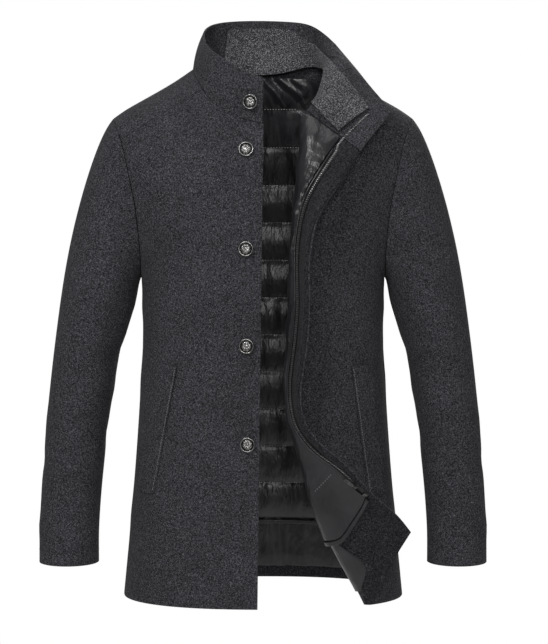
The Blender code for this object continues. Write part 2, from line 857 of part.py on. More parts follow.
def column_from_edge(grid, row, distance):
    """Column of a panel that lies a distance in from its last column, along the row."""
    line = np.array([sample(grid, row, j) for j in range(grid.shape[1])])
    left = distance
    for j in range(len(line) - 1, 0, -1):
        step = np.linalg.norm(line[j] - line[j - 1])
        if left <= step:
            return j - left / step
        left -= step
    return 0.0


def layers(*thicknesses):
    """Depth under the shell's outer face of what lies on a stack of layers on the flap."""
    return WOOL + FLAP_GAP + sum(FLAP_GAP + t for t in thicknesses)


ROLL_START = YOKE_COLUMNS + 1
ROLL_END = ROLL_START + ROLL_COLUMNS
FREE_EDGE = ROLL_END + FLAP_COLUMNS


def facing_corner(across):
    """Row of the facing's curved lower edge, a part of the way across the flap."""
    at_roll, at_edge = FACING_CORNER_ROWS
    return at_edge + (at_roll - at_edge) * (1 - across) ** FACING_CORNER_BEND


def facing_start(row):
    """First column of the facing: over the roll at its lower corner, behind it further up."""
    up = (row - CORNER_ROW) / (SQUARE_ROW - CORNER_ROW)
    return ROLL_END - FACING_ROLL_REACH * (1 - min(max(up, 0.0), 1.0))


def corner_column(row):
    """Column where the facing's lower edge crosses a row."""
    at_roll, at_edge = FACING_CORNER_ROWS
    left = min(max((row - at_edge) / (at_roll - at_edge), 0.0), 1.0)
    return blend(facing_start(row), FREE_EDGE, 1 - left ** (1 / FACING_CORNER_BEND))


def turnup_start(left, row):
    """Column where the wool turn-up of the folded hem begins on a row."""
    width, spread = TURNUP_REACH
    return max(column_from_edge(left, row, width + spread * row), ROLL_END - 1.0)


def build_facing(left, normals):
    """Wool facing of the opened front, ending in a curve across the folded corner."""
    fractions = np.linspace(0, 1, FLAP_COLUMNS + 1)
    places = []
    for up in np.linspace(0, 1, 7)[:-1]:
        start = facing_start(blend(CORNER_ROW, SQUARE_ROW, up))
        places.append([(blend(facing_corner(f), SQUARE_ROW, up), blend(start, FREE_EDGE - 0.02, f))
                       for f in fractions])
    for row in range(SQUARE_ROW, left.shape[0]):
        places.append([(row, blend(ROLL_END, FREE_EDGE - 0.02, f)) for f in fractions])
    grid, out = lay_on(left, normals, places)
    depth = np.full(grid.shape[:2], layers())
    depth[SQUARE_ROW:, -1] = WOOL + LAYER_GAP
    wall("facing_left", grid, -depth, depth + FACING, "wool", normals=out)


def build_corner_lining(left, normals):
    """Satin over the folded corner, and the wool turn-up along its hem."""
    places = []
    for row in CORNER_LINING_ROWS:
        end = min(corner_column(row), facing_start(row) if row > CORNER_ROW else FREE_EDGE,
                  turnup_start(left, row) if row < 2 else FREE_EDGE) - 0.3
        rolled = list(range(ROLL_START + 1, ROLL_END - 2))
        places.append([(row, j) for j in rolled + list(np.linspace(ROLL_END - 2, end, 5))])
    grid, out = lay_on(left, normals, places)
    wall("lining_left", grid, -layers(), layers() + SATIN, "satin", normals=out)
    places = []
    for row in TURNUP_LEFT_ROWS:
        start = turnup_start(left, row)
        bend = max(start + 0.2, ROLL_END)
        end = min(corner_column(row) - 0.3, FREE_EDGE - 0.02)
        places.append([(row, j) for j in [start, blend(start, bend, 0.5)] + list(np.linspace(bend, end, 4))])
    grid, out = lay_on(left, normals, places)
    wall("hem_left", grid, -layers(), layers() + FACING, "wool", normals=out)


def zip_reach(left, row):
    """How far in from the free edge the zip lies, always clear of the roll."""
    flat = np.linalg.norm(sample(left, row, FREE_EDGE) - sample(left, row, ROLL_END))
    return min(zip_line(row)[0], flat - ZIP_CLEAR_OF_ROLL)


def liner_left_places(left):
    """Rows of places of the quilted liner on the opened front, from its tucked edge to the zip."""
    roll_row, zip_row = LINER_CORNER_ROWS
    rolled = list(range(ROLL_START - LINER_TUCK_COLUMNS, ROLL_END))
    fractions = np.linspace(0, 1, 4)

    def places_at(first, last, up):
        row = [(blend(first, SQUARE_ROW, up), j) for j in rolled]
        for f in fractions:
            i = blend(blend(first, last, f), SQUARE_ROW, up)
            end = column_from_edge(left, i, zip_reach(left, i) + ZIP_TO_LINER)
            row.append((i, blend(ROLL_END, end, f)))
        return row

    places = [places_at(roll_row, zip_row, up) for up in np.linspace(0, 1, 5)[:-1]]
    top_row = left.shape[0] - 1
    for i in list(range(SQUARE_ROW, top_row)) + [top_row - 0.15]:
        places.append(places_at(i, i, 0.0))
    return places


def build_liner_left(left, normals):
    """Quilted liner on the opened front: smooth at its corner, then puffed between its lines."""
    places = liner_left_places(left)
    grid, out = lay_on(left, normals, places)
    top = layers(FACING) + LINER_EASE
    puff = np.zeros(grid.shape[:2])
    for i, row in enumerate(places[:-1]):
        place = row[0][0]
        if place >= LINER_PLAIN_ROWS and round(place) % 2:
            puff[i, 1:-1] = QUILT_PUFF
    wall("liner_left", grid, -top, top + QUILT_BASE + puff, "satin", normals=out)
    low = [[(i - drop, j) for i, j in places[0]] for drop in BINDING_LEFT_DROPS]
    grid, out = lay_on(left, normals, low)
    wall("liner_binding_left", grid, -top, top + BINDING_THICK, "satin", normals=out)


def build_liner_back(back, normals):
    """Quilted liner inside the back, its binding, the loose lining below and the hem turn-up."""
    centre = (back.shape[1] - 1) // 2
    heights = back[:, centre, 2]
    count = int((LINER_TOP - LINER_HEM) / (QUILT_PITCH / 2))
    levels = [LINER_HEM + k * QUILT_PITCH / 2 for k in range(count + 1)] + [LINER_TOP]
    rows = [np.interp(z, heights, range(len(heights))) for z in levels]
    columns = np.linspace(0.8, back.shape[1] - 1.8, 15)
    grid, out = lay_on(back, normals, [[(i, j) for j in columns] for i in rows])
    puff = np.zeros(grid.shape[:2])
    puff[1:-1:2, 1:-1] = QUILT_PUFF
    top = WOOL + LINER_AIR
    wall("liner_back", grid, -top, top + QUILT_BASE + puff, "satin", normals=out)
    drop = BINDING_WIDTH / (heights[1] - heights[0])
    low = [[(rows[0] - drop, j) for j in columns], [(rows[0] - 0.03, j) for j in columns]]
    grid, out = lay_on(back, normals, low)
    wall("liner_binding_back", grid, -top, top + BINDING_THICK, "satin", normals=out)
    columns = range(1, back.shape[1] - 1)
    lining = [[(i, j) for j in columns] for i, _ in LINING_DEPTHS]
    grid, out = lay_on(back, normals, lining)
    depth = np.array([d for _, d in LINING_DEPTHS])[:, None] * np.ones(len(columns))
    wall("lining_back", grid, -depth, depth + SATIN, "satin", normals=out)
    turnup = [[(i, j) for j in columns] for i in HEM_TURNUP_ROWS]
    grid, out = lay_on(back, normals, turnup)
    top = WOOL + LAYER_GAP
    wall("hem_back", grid, -top, top + FACING, "wool", normals=out)


def build_inner_collar(collar, normals):
    """Inner collar: a second, lower collar inside the first, on the liner's neck."""
    depths = smooth_table(INNER_COLLAR_DEPTHS)
    lows = smooth_table(INNER_COLLAR_LOW)
    end = column_from_edge(collar, INNER_COLLAR_HIGH * COLLAR_ROWS, INNER_COLLAR_SHORT)
    fractions = np.linspace(0, 1, INNER_COLLAR_COLUMNS)
    places, depth = [], []
    for k in range(5):
        places.append([(blend(lows(f)[0], INNER_COLLAR_HIGH, k / 4) * COLLAR_ROWS,
                        blend(INNER_COLLAR_START, end, f)) for f in fractions])
        depth.append([WOOL + depths(f)[0] for f in fractions])
    grid, out = lay_on(collar, normals, places)
    depth = np.array(depth)
    wall("inner_collar", grid, -depth, depth + INNER_COLLAR_THICK, "knit", normals=out)


def build_welts():
    for name, side, top_in, top_out, top_z, low_in, low_out, low_z in WELTS:
        rows = []
        for up in np.linspace(0, 1, 6):
            inner, outer = blend(low_in, top_in, up), blend(low_out, top_out, up)
            z = blend(low_z, top_z, up)
            xs = np.linspace(inner, outer, 4) if side < 0 else np.linspace(outer, inner, 4)
            rows.append([(side * x, body_depth(x, z, -1), z) for x in xs])
        grid = np.array(rows)
        wall("welt_" + name, grid, LAYER_GAP + WELT_THICK, -LAYER_GAP, "wool",
             normals=body_normals(grid))


def lathe(name, place, profile, sides, finish):
    """Turned solid from (radius, height) points, centre first, about the normal of its place."""
    centre, axes = place
    points = [(0.0, 0.0, profile[0][1])]
    for radius, height in profile[1:-1]:
        for k in range(sides):
            turn = 2 * math.pi * k / sides
            points.append((radius * math.cos(turn), radius * math.sin(turn), height))
    points.append((0.0, 0.0, profile[-1][1]))
    rings = len(profile) - 2
    faces = []
    for k in range(sides):
        n = (k + 1) % sides
        faces.append((0, 1 + k, 1 + n))
        for r in range(rings - 1):
            a = 1 + r * sides
            faces.append((a + k, a + sides + k, a + sides + n, a + n))
        a = 1 + (rings - 1) * sides
        faces.append((a + k, len(points) - 1, a + n))
    return add_object(name, centre + np.array(points) @ axes.T, faces, finish)


def build_buttons(collar, collar_normals):
    for number, (x, z) in enumerate(BUTTONS, 1):
        lift = FIRST_BUTTON_LIFT if number == 1 else 0.0
        profile = [(part * BUTTON_RADIUS, height + lift) for part, height in BUTTON_PROFILE]
        foot = LAYER_GAP + lift / 2
        profile += [(SHANK_RADIUS, profile[-1][1]), (SHANK_RADIUS, foot), (0.0, foot)]
        if number == 1:
            point = sample(collar, *FIRST_BUTTON_PLACE)
            normal = sample(collar_normals, *FIRST_BUTTON_PLACE)
        else:
            point = np.array((x, body_depth(x, z, -1), z))
            normal = body_normal(point)
        place = frame_at(point, (0, 0, 1), normal)
        lathe(f"button_{number}", place, profile, BUTTON_SIDES, "metal")


def build_zip(left, normals):
    """Tape of the opened side, retainer box, slider and the pull tab on its two lugs."""
    top = layers(FACING)
    rows = list(ZIP_ROWS) + list(range(9, left.shape[0] - 1)) + [ZIP_TOP_ROW]
    places = []
    for row in rows:
        reach = zip_reach(left, row)
        far = max(reach - ZIP_TAPE, 0.5)
        places.append([(row, column_from_edge(left, row, d)) for d in (reach, (reach + far) / 2, far)])
    grid, out = lay_on(left, normals, places)
    wall("zip_tape", grid, -top, top + TAPE_THICK, "tape", normals=out)

    def zip_place(row, height):
        column = column_from_edge(left, row, zip_reach(left, row) - ZIP_TO_CHAIN)
        point, normal = sample(left, row, column), -unit(sample(normals, row, column))
        row += 0.3
        ahead = sample(left, row, column_from_edge(left, row, zip_reach(left, row) - ZIP_TO_CHAIN))
        return frame_at(point + normal * height, ahead - point, normal)

    base = top + TAPE_THICK + LAYER_GAP
    half = SLIDER_WIDTH / 2
    slider = zip_place(SLIDER_ROW, base)
    body = block("slider_body", slider, (-half, -SLIDER_LENGTH / 2, 0),
                 (half, SLIDER_LENGTH / 2, SLIDER_HEIGHT), "metal", 0.8)
    lugs = []
    for side in (-1, 1):
        near, far = sorted((side * LUG_GAP / 2, side * (LUG_GAP / 2 + LUG_THICK)))
        lugs.append(block("lug", slider, (near, -LUG_LENGTH / 2, SLIDER_HEIGHT - 0.5),
                          (far, LUG_LENGTH / 2, SLIDER_HEIGHT + LUG_HEIGHT), "metal"))
    union("zip_slider", [body] + lugs)
    block("zip_box", zip_place(BOX_ROW, base), (-BOX_SIZE / 2, -BOX_SIZE / 2, 0),
          (BOX_SIZE / 2, BOX_SIZE / 2, 3.0), "metal", 0.5)
    return slider


def build_pull_tab(slider):
    """Pull tab: a knuckle between the lugs and a flat tongue, its origin on the hinge axis."""
    centre, axes = slider
    hinge = centre + axes[:, 2] * (SLIDER_HEIGHT + LUG_HEIGHT - KNUCKLE_RADIUS - 0.2)
    width = LUG_GAP - 2 * HINGE_CLEARANCE
    outline = []
    half_thick = TAB_THICK / 2
    lift = math.asin(half_thick / KNUCKLE_RADIUS)
    for k in range(9):
        turn = blend(lift, 2 * math.pi - lift, k / 8)
        outline.append((KNUCKLE_RADIUS * math.cos(turn), KNUCKLE_RADIUS * math.sin(turn)))
    points, faces = [], []
    for side in (-1, 1):
        points += [(side * width / 2, y, z) for y, z in outline]
    count = len(outline)
    faces.append(tuple(range(count)))
    faces.append(tuple(range(2 * count - 1, count - 1, -1)))
    for k in range(count - 1):
        faces.append((k, k + count, k + count + 1, k + 1))
    faces.append((count - 1, 2 * count - 1, count, 0))
    tilt = math.radians(TAB_LIFT)
    tilted = np.column_stack([axes[:, 0], axes[:, 1] * math.cos(tilt) + axes[:, 2] * math.sin(tilt),
                              axes[:, 2] * math.cos(tilt) - axes[:, 1] * math.sin(tilt)])
    place = (np.zeros(3), tilted)
    knuckle = add_object("knuckle", np.array(points) @ tilted.T, faces, "metal")
    stem = block("stem", place, (-width / 2, 0.3, -half_thick),
                 (width / 2, TAB_NECK + 0.5, half_thick), "metal")
    tongue = block("tongue", place, (-TAB_WIDTH / 2, TAB_NECK, -half_thick),
                   (TAB_WIDTH / 2, TAB_LENGTH, half_thick), "metal", 0.15)
    tab = union("zip_pull_tab", [knuckle, stem, tongue])
    tab.location = [c * MM for c in hinge]


# ---------------------------------------------------------------- run

for old in list(bpy.data.objects):
    bpy.data.objects.remove(old)

MATERIALS = {
    "wool": material("charcoal_wool", (0.035, 0.037, 0.041), 0.95),
    "satin": material("black_satin", (0.012, 0.012, 0.014), 0.4),
    "knit": material("grey_twill", (0.06, 0.063, 0.068), 0.95),
    "metal": material("antique_metal", (0.30, 0.30, 0.31), 0.35, 1.0),
    "tape": material("zip_tape", (0.015, 0.015, 0.016), 0.8),
}

right_front, back, left_front = build_body_panels()
build_yokes()
build_sleeves()
collar, collar_out = build_collar(left_front)
left_out = left_front_normals(left_front)
build_facing(left_front, left_out)
build_corner_lining(left_front, left_out)
build_liner_left(left_front, left_out)
build_liner_back(back, body_normals(back))
build_inner_collar(collar, collar_out)
build_welts()
build_buttons(collar, collar_out)
build_pull_tab(build_zip(left_front, left_out))
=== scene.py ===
import json
import math

import bmesh
import bpy
import numpy as np
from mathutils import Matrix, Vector, noise
from mathutils.bvhtree import BVHTree

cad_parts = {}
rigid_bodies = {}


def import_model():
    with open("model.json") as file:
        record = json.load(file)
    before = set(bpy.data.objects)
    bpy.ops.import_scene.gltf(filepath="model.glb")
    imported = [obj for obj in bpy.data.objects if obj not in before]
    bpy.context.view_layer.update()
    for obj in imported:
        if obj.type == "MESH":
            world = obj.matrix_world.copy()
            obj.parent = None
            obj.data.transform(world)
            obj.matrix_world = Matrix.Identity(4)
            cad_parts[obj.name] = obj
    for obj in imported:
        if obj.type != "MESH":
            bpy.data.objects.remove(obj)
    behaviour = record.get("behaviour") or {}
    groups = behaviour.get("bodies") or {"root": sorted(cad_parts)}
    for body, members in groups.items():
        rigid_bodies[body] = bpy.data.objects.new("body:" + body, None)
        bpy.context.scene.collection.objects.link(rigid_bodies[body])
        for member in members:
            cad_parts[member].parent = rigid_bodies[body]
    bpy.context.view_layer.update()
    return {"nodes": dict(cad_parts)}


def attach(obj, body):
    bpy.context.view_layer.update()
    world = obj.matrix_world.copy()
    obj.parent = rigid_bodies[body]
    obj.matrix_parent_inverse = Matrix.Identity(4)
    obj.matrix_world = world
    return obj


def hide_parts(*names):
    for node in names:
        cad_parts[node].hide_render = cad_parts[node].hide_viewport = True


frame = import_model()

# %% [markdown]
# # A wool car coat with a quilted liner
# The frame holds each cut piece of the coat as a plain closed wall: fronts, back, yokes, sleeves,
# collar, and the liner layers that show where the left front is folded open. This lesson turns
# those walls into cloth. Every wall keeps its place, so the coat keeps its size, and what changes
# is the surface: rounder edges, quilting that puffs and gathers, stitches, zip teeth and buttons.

MM = 0.001


print("pieces in the frame:", len(frame["nodes"]))

# %% [markdown]
# ## The camera
# The photograph is taken from straight in front, a little above the middle of the coat, with a
# long lens, so the sides hardly converge. A camera three metres away and tilted down a few
# degrees gives the same view of the neck opening and of the hem's far edge.

# %% Place the camera
CAMERA_AT = Vector((0.0162, -3.1, -0.162))
CAMERA_TILT = math.radians(3.594)

lens = bpy.data.cameras.new("camera")
lens.sensor_width = 36.0
lens.lens = 117.5
camera = bpy.data.objects.new("camera", lens)
camera.location = CAMERA_AT
camera.rotation_euler = (math.radians(90) - CAMERA_TILT, 0, 0)
bpy.context.scene.collection.objects.link(camera)
bpy.context.scene.camera = camera
print("camera distance:", round((CAMERA_AT - Vector((0, 0, CAMERA_AT.z))).length, 2), "m")

# %% [markdown]
# ## Materials
# Each finish is a small tree of noise nodes, in the object's own coordinates, so that its grain
# keeps its real size. A helper makes the tree's start; every number that is the same all over the
# surface sits on the shader's own socket.

# %% A helper for finishes
class Finish:
    """A material with its shader, and short ways to add the nodes that feed it."""

    def __init__(self, name, **sockets):
        self.material = bpy.data.materials.new(name)
        self.material.use_nodes = True
        self.tree = self.material.node_tree
        self.shader = self.tree.nodes["Principled BSDF"]
        for socket, value in sockets.items():
            self.shader.inputs[socket.replace("_", " ")].default_value = value
        self.place = self.add("ShaderNodeTexCoord").outputs["Object"]

    def add(self, kind, **settings):
        node = self.tree.nodes.new(kind)
        for key, value in settings.items():
            setattr(node, key, value)
        return node

    def link(self, output, socket):
        self.tree.links.new(output, socket)

    def stretched(self, scale, turn=(0, 0, 0)):
        node = self.add("ShaderNodeMapping")
        node.inputs["Scale"].default_value = scale
        node.inputs["Rotation"].default_value = turn
        self.link(self.place, node.inputs["Vector"])
        return node.outputs["Vector"]

    def grain(self, scale, detail=2.0, rough=0.5, vector=None):
        node = self.add("ShaderNodeTexNoise")
        node.inputs["Scale"].default_value = scale
        node.inputs["Detail"].default_value = detail
        node.inputs["Roughness"].default_value = rough
        self.link(vector or self.place, node.inputs["Vector"])
        return node.outputs["Fac"]

    def ramp(self, value, *stops):
        node = self.add("ShaderNodeValToRGB")
        elements = node.color_ramp.elements
        while len(elements) < len(stops):
            elements.new(0.5)
        for element, (place, colour) in zip(elements, stops):
            element.position = place
            element.color = (*colour, 1.0) if hasattr(colour, "__len__") else (colour,) * 3 + (1.0,)
        self.link(value, node.inputs["Fac"])
        return node.outputs["Color"]

    def mix(self, factor, a, b, kind="MIX"):
        node = self.add("ShaderNodeMix", data_type="RGBA", blend_type=kind)
        for socket, value in (("Factor", factor), ("A", a), ("B", b)):
            target = [s for s in node.inputs if s.name == socket and s.enabled][0]
            if hasattr(value, "is_output"):
                self.link(value, target)
            else:
                target.default_value = value
        return [s for s in node.outputs if s.name == "Result" and s.enabled][0]

    def maths(self, kind, a, b):
        node = self.add("ShaderNodeMath", operation=kind)
        for socket, value in zip(node.inputs, (a, b)):
            if hasattr(value, "is_output"):
                self.link(value, socket)
            else:
                socket.default_value = value
        return node.outputs["Value"]

    def bump(self, height, depth, strength=1.0):
        node = self.add("ShaderNodeBump")
        node.inputs["Distance"].default_value = depth
        node.inputs["Strength"].default_value = strength
        self.link(height, node.inputs["Height"])
        self.link(node.outputs["Normal"], self.shader.inputs["Normal"])

    def colour(self, output):
        self.link(output, self.shader.inputs["Base Color"])
        return self


print("the helper for finishes is ready")

# %% [markdown]
# ### Charcoal wool
# The shell is a fulled wool cloth spun from dark and pale fibres, so close up it is a fine melange
# with pale flecks, and from further off it is an even charcoal. Two scales of noise give fibre
# and fleck, a large soft one gives the slow change of tone, and a little sheen stands for the nap.

# %% Charcoal wool
def make_wool(name, tone):
    """Melange wool; tone scales every yarn, and a tone below one is painted shade."""
    wool = Finish(name, Roughness=0.95, Sheen_Weight=0.03, Sheen_Roughness=0.5,
                  Specular_IOR_Level=0.12)
    fibre = wool.grain(1150.0, 3.0, 0.7)
    tuft = wool.grain(430.0, 2.0, 0.7)
    slow = wool.grain(16.0, 3.0, 0.55)
    melange = wool.ramp(fibre, (0.38, [0.0100 * tone, 0.0097 * tone, 0.0116 * tone]),
                        (0.52, [0.030 * tone, 0.029 * tone, 0.0338 * tone]),
                        (0.64, [0.088 * tone, 0.086 * tone, 0.096 * tone]))
    tufted = wool.mix(0.9, melange, wool.ramp(tuft, (0.38, 0.32), (0.62, 1.75)), "MULTIPLY")
    fleck = wool.ramp(wool.grain(560.0, 1.0, 0.5), (0.64, 0.0), (0.71, 1.0))
    pale = (0.17 * tone, 0.168 * tone, 0.18 * tone, 1.0)
    flecked = wool.mix(wool.maths("MULTIPLY", fleck, 0.55), tufted, pale)
    toned = wool.mix(0.4, flecked, wool.ramp(slow, (0.3, 0.7), (0.7, 1.3)), "MULTIPLY")
    wool.colour(toned)
    wool.bump(wool.maths("ADD", fibre, wool.maths("MULTIPLY", tuft, 1.4)), 0.4 * MM, 0.8)
    return wool.material


wool_cloth = make_wool("charcoal_wool", 1.0)
# The second copy is the same wool at half the tone: painted shade for the facing and the hem turn-ups,
# which lie in the coat's shadow.
painted_shade_wool = make_wool("wool_with_painted_shade", 0.5)
print("finishes:", wool_cloth.name, painted_shade_wool.name)

# %% [markdown]
# ### Black satin, grey twill, tape, thread and metal
# The liner and linings are a tight black satin: dark, smooth and softly glossy. The inner collar
# is a coarse twill of grey and black yarn. Zip tape is a fine rib, and the hardware is darkened
# metal that wears bright on its raised parts.

# %% Satin and twill
def make_satin():
    satin = Finish("black_satin", Roughness=0.33, Sheen_Weight=0.02, Sheen_Roughness=0.3,
                   Specular_IOR_Level=0.42)
    thread = satin.grain(2600.0, 1.0, 0.5, satin.stretched((0.25, 0.25, 1.0)))
    slow = satin.grain(30.0, 2.0, 0.5)
    crumple = satin.grain(60.0, 3.0, 0.6, satin.stretched((1.0, 1.0, 0.4)))
    satin.colour(satin.ramp(slow, (0.3, (0.010, 0.010, 0.0116)), (0.7, (0.019, 0.019, 0.0215))))
    satin.bump(satin.maths("ADD", satin.maths("MULTIPLY", thread, 0.02), crumple), 2.6 * MM, 0.9)
    return satin.material


def make_twill():
    twill = Finish("grey_twill", Roughness=0.95, Sheen_Weight=0.05, Sheen_Roughness=0.5,
                   Specular_IOR_Level=0.12)
    rib = twill.add("ShaderNodeTexWave", wave_type="BANDS", bands_direction="DIAGONAL")
    rib.inputs["Scale"].default_value = 190.0
    rib.inputs["Distortion"].default_value = 6.0
    rib.inputs["Detail"].default_value = 3.0
    rib.inputs["Detail Scale"].default_value = 4.0
    twill.link(twill.place, rib.inputs["Vector"])
    yarn = twill.grain(560.0, 2.0, 0.7)
    slow = twill.grain(24.0, 2.0, 0.5)
    pattern = twill.maths("ADD", twill.maths("MULTIPLY", rib.outputs["Fac"], 0.14),
                          twill.maths("MULTIPLY", yarn, 0.9))
    yarns = twill.ramp(pattern, (0.40, (0.010, 0.010, 0.012)), (0.53, (0.046, 0.045, 0.050)),
                       (0.70, (0.24, 0.237, 0.25)))
    twill.colour(twill.mix(0.5, yarns, twill.ramp(slow, (0.3, 0.7), (0.7, 1.3)), "MULTIPLY"))
    twill.bump(pattern, 0.6 * MM, 0.9)
    return twill.material


def make_tape():
    tape = Finish("zip_tape", Roughness=0.75, Sheen_Weight=0.15, Specular_IOR_Level=0.3)
    rib = tape.grain(1800.0, 1.0, 0.5)
    tape.colour(tape.ramp(rib, (0.3, (0.008, 0.008, 0.009)), (0.7, (0.026, 0.026, 0.028))))
    tape.bump(rib, 0.1 * MM, 0.5)
    return tape.material


def make_metal(name, dark, bright, roughness):
    metal = Finish(name, Metallic=1.0, Roughness=roughness)
    worn = metal.grain(240.0, 4.0, 0.6)
    metal.colour(metal.ramp(worn, (0.32, dark), (0.62, bright)))
    metal.bump(metal.grain(900.0, 2.0, 0.5), 0.05 * MM, 0.3)
    return metal.material


def make_thread(name, dark, bright):
    thread = Finish(name, Roughness=0.6, Specular_IOR_Level=0.4)
    twist = thread.grain(3000.0, 1.0, 0.5)
    thread.colour(thread.ramp(twist, (0.3, dark), (0.7, bright)))
    thread.bump(twist, 0.05 * MM, 0.4)
    return thread.material


black_satin = make_satin()
grey_twill = make_twill()
tape_cloth = make_tape()
button_metal = make_metal("button_metal", (0.10, 0.098, 0.095), (0.34, 0.335, 0.33), 0.28)
blackened_metal = make_metal("blackened_metal", (0.008, 0.008, 0.008), (0.05, 0.05, 0.05), 0.45)
dark_metal = make_metal("dark_metal", (0.02, 0.02, 0.02), (0.11, 0.11, 0.11), 0.38)
pale_metal = make_metal("pale_metal", (0.09, 0.09, 0.09), (0.42, 0.42, 0.42), 0.34)
black_thread = make_thread("black_thread", 0.010, 0.03)
pale_thread = make_thread("pale_thread", 0.22, 0.42)
print("finishes:", len(bpy.data.materials))

# %% [markdown]
# ## From a wall to a cloth
# A cut piece in the frame is a closed wall with flat facets. Its cloth starts as a copy: the
# facets are paired back into four-sided ones, the wall's rim is kept crisp, and a subdivision
# surface rounds everything between. A narrow bevel then turns the cut rim into a folded edge.

# %% Make cloth from a wall
RIM_ANGLE = math.radians(48)
WELD = 0.02 * MM


def settle(piece):
    """Turns a piece's modifiers into its mesh."""
    depsgraph = bpy.context.evaluated_depsgraph_get()
    made = bpy.data.meshes.new_from_object(piece.evaluated_get(depsgraph))
    piece.modifiers.clear()
    piece.data = made
    return piece


def new_piece(name, mesh):
    piece = bpy.data.objects.new(name, mesh)
    bpy.context.scene.collection.objects.link(piece)
    return piece


def cloth_from(node, rounds=2):
    """Smooth copy of a cut piece."""
    source = frame["nodes"][node]
    shape = bmesh.new()
    shape.from_mesh(source.data)
    shape.transform(source.matrix_world)
    bmesh.ops.remove_doubles(shape, verts=shape.verts, dist=WELD)
    bmesh.ops.join_triangles(shape, faces=shape.faces, angle_face_threshold=math.radians(40),
                             angle_shape_threshold=math.radians(180))
    crease = shape.edges.layers.float.new("crease_edge")
    for edge in shape.edges:
        if len(edge.link_faces) == 2 and edge.calc_face_angle() > RIM_ANGLE:
            edge[crease] = 1.0
    mesh = bpy.data.meshes.new(node + "_cloth")
    shape.to_mesh(mesh)
    shape.free()
    piece = new_piece(mesh.name, mesh)
    rounding = piece.modifiers.new("rounding", "SUBSURF")
    rounding.levels = rounding.render_levels = rounds
    return settle(piece)


def fold_edges(piece, fold):
    """Rounds the cut rim to a folded edge; fold is its radius in millimetres."""
    bevel = piece.modifiers.new("fold", "BEVEL")
    bevel.width = fold * MM
    bevel.segments = 2
    bevel.limit_method = "ANGLE"
    bevel.angle_limit = RIM_ANGLE
    settle(piece)
    piece.data.shade_smooth()
    piece.data.set_sharp_from_angle(angle=math.radians(60))
    return piece


def dress(piece, finish, slot, *nodes, body="coat"):
    """Gives a piece its finish, and its place in the frame."""
    piece.data.materials.clear()
    piece.data.materials.append(finish)
    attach(piece, body)
    if nodes:
        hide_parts(*nodes)
    return piece


def tree_of(*nodes):
    """Search tree over cut pieces of the frame."""
    points, faces = [], []
    for node in nodes:
        source = frame["nodes"][node]
        start = len(points)
        points += [source.matrix_world @ v.co for v in source.data.vertices]
        faces += [[start + k for k in face.vertices] for face in source.data.polygons]
    return BVHTree.FromPolygons(points, faces)


def press(piece, support, amount):
    """Moves each point away from the cloth it lies on, by amount(point) millimetres."""
    for vertex in piece.data.vertices:
        near = support.find_nearest(vertex.co)[0]
        away = (vertex.co - near).normalized()
        vertex.co += away * (amount(vertex.co) * MM)


print("helpers for cloth are ready")

# %% [markdown]
# ## The shell
# Fronts, back, yokes, sleeves and collar are firm fulled wool. It hangs almost without creases, so
# the shell only gets long shallow swells where a worn sleeve and the waist would bend, each a
# smooth ridge between two points. None is higher than 2.4 mm, so the outline hardly changes.

# %% Ridges and troughs
def along(point, start, end):
    """Distance of a point from a line between two (x, z) places, all in metres."""
    sx, sz = start
    dx, dz = end[0] - sx, end[1] - sz
    f = ((point.x - sx) * dx + (point.z - sz) * dz) / (dx * dx + dz * dz)
    f = min(max(f, 0.0), 1.0)
    return math.hypot(point.x - sx - f * dx, point.z - sz - f * dz)


def ridges(point, lines):
    """Height in millimetres of soft ridges: start x, z, end x, z, height, width, face."""
    height = 0.0
    for sx, sz, ex, ez, rise, width, face in lines:
        if face and face * point.y < 0:
            continue
        off = along(point, (sx * MM, sz * MM), (ex * MM, ez * MM)) / (width * MM)
        height += rise * math.exp(-off * off)
    return height


def both_sides(lines):
    """The ridges, and the same ones on the other half of the coat."""
    return lines + [(-sx, sz, -ex, ez, *rest) for sx, sz, ex, ez, *rest in lines]


SLEEVE_RIDGES = both_sides([
    (-215, -395, -285, -455, -2.4, 13, 0),
    (-232, -452, -300, -500, 2.2, 16, 0),
    (-235, -520, -318, -560, -1.8, 15, 0),
    (-190, -300, -225, -372, -2.2, 12, -1),
    (-205, -280, -215, -350, -2.0, 12, 1),
    (-265, -630, -325, -655, 1.2, 14, 0),
])
BODY_RIDGES = both_sides([
    (-165, -300, -95, -262, -1.6, 14, -1),
    (-172, -335, -110, -330, 1.4, 16, -1),
    (-170, -420, -90, -455, -1.2, 20, -1),
    (-185, -640, -120, -560, 1.2, 22, -1),
    (-170, -300, -60, -240, -1.8, 18, 1),
    (-172, -360, -40, -392, -1.8, 22, 1),
    (-160, -440, 20, -430, 1.8, 24, 1),
    (-120, -170, -40, -110, 1.4, 24, 1),
])
SHELL = {
    "front_right": (0.32, 0.77, "hung", BODY_RIDGES),
    "front_left": (0.42, 0.76, "folded", BODY_RIDGES),
    "back": (0.56, 0.80, "hung", BODY_RIDGES),
    "yoke_right": (0.16, 0.18, "laid", []),
    "yoke_left": (0.16, 0.18, "laid", []),
    "sleeve_right": (0.44, 0.72, "hung", SLEEVE_RIDGES),
    "sleeve_left": (0.44, 0.72, "hung", SLEEVE_RIDGES),
    "collar_right": (0.15, 0.095, "folded", []),
    "collar_back": (0.28, 0.10, "folded", []),
    "collar_left": (0.20, 0.10, "folded", []),
}
EDGE_ROLL = 0.9
print("ridges on sleeves and body:", len(SLEEVE_RIDGES), len(BODY_RIDGES))

# %% [markdown]
# A sleeve bends round its own middle line and the body round the coat's, so each piece swells
# outward from its own middle. The left front leaves out the other half's ridges, which would only
# mark its opened flap. Then the cut edges are rolled and the piece takes its place.

# %% Sew the shell
SLEEVE_SLICE = 0.035


def sleeve_middle(z):
    """Middle of a sleeve at a height, from the points of its cloth within a slice."""
    points = sleeve_points
    near = points[np.abs(points[:, 2] - z) < SLEEVE_SLICE]
    return (near.min(axis=0) + near.max(axis=0)) / 2


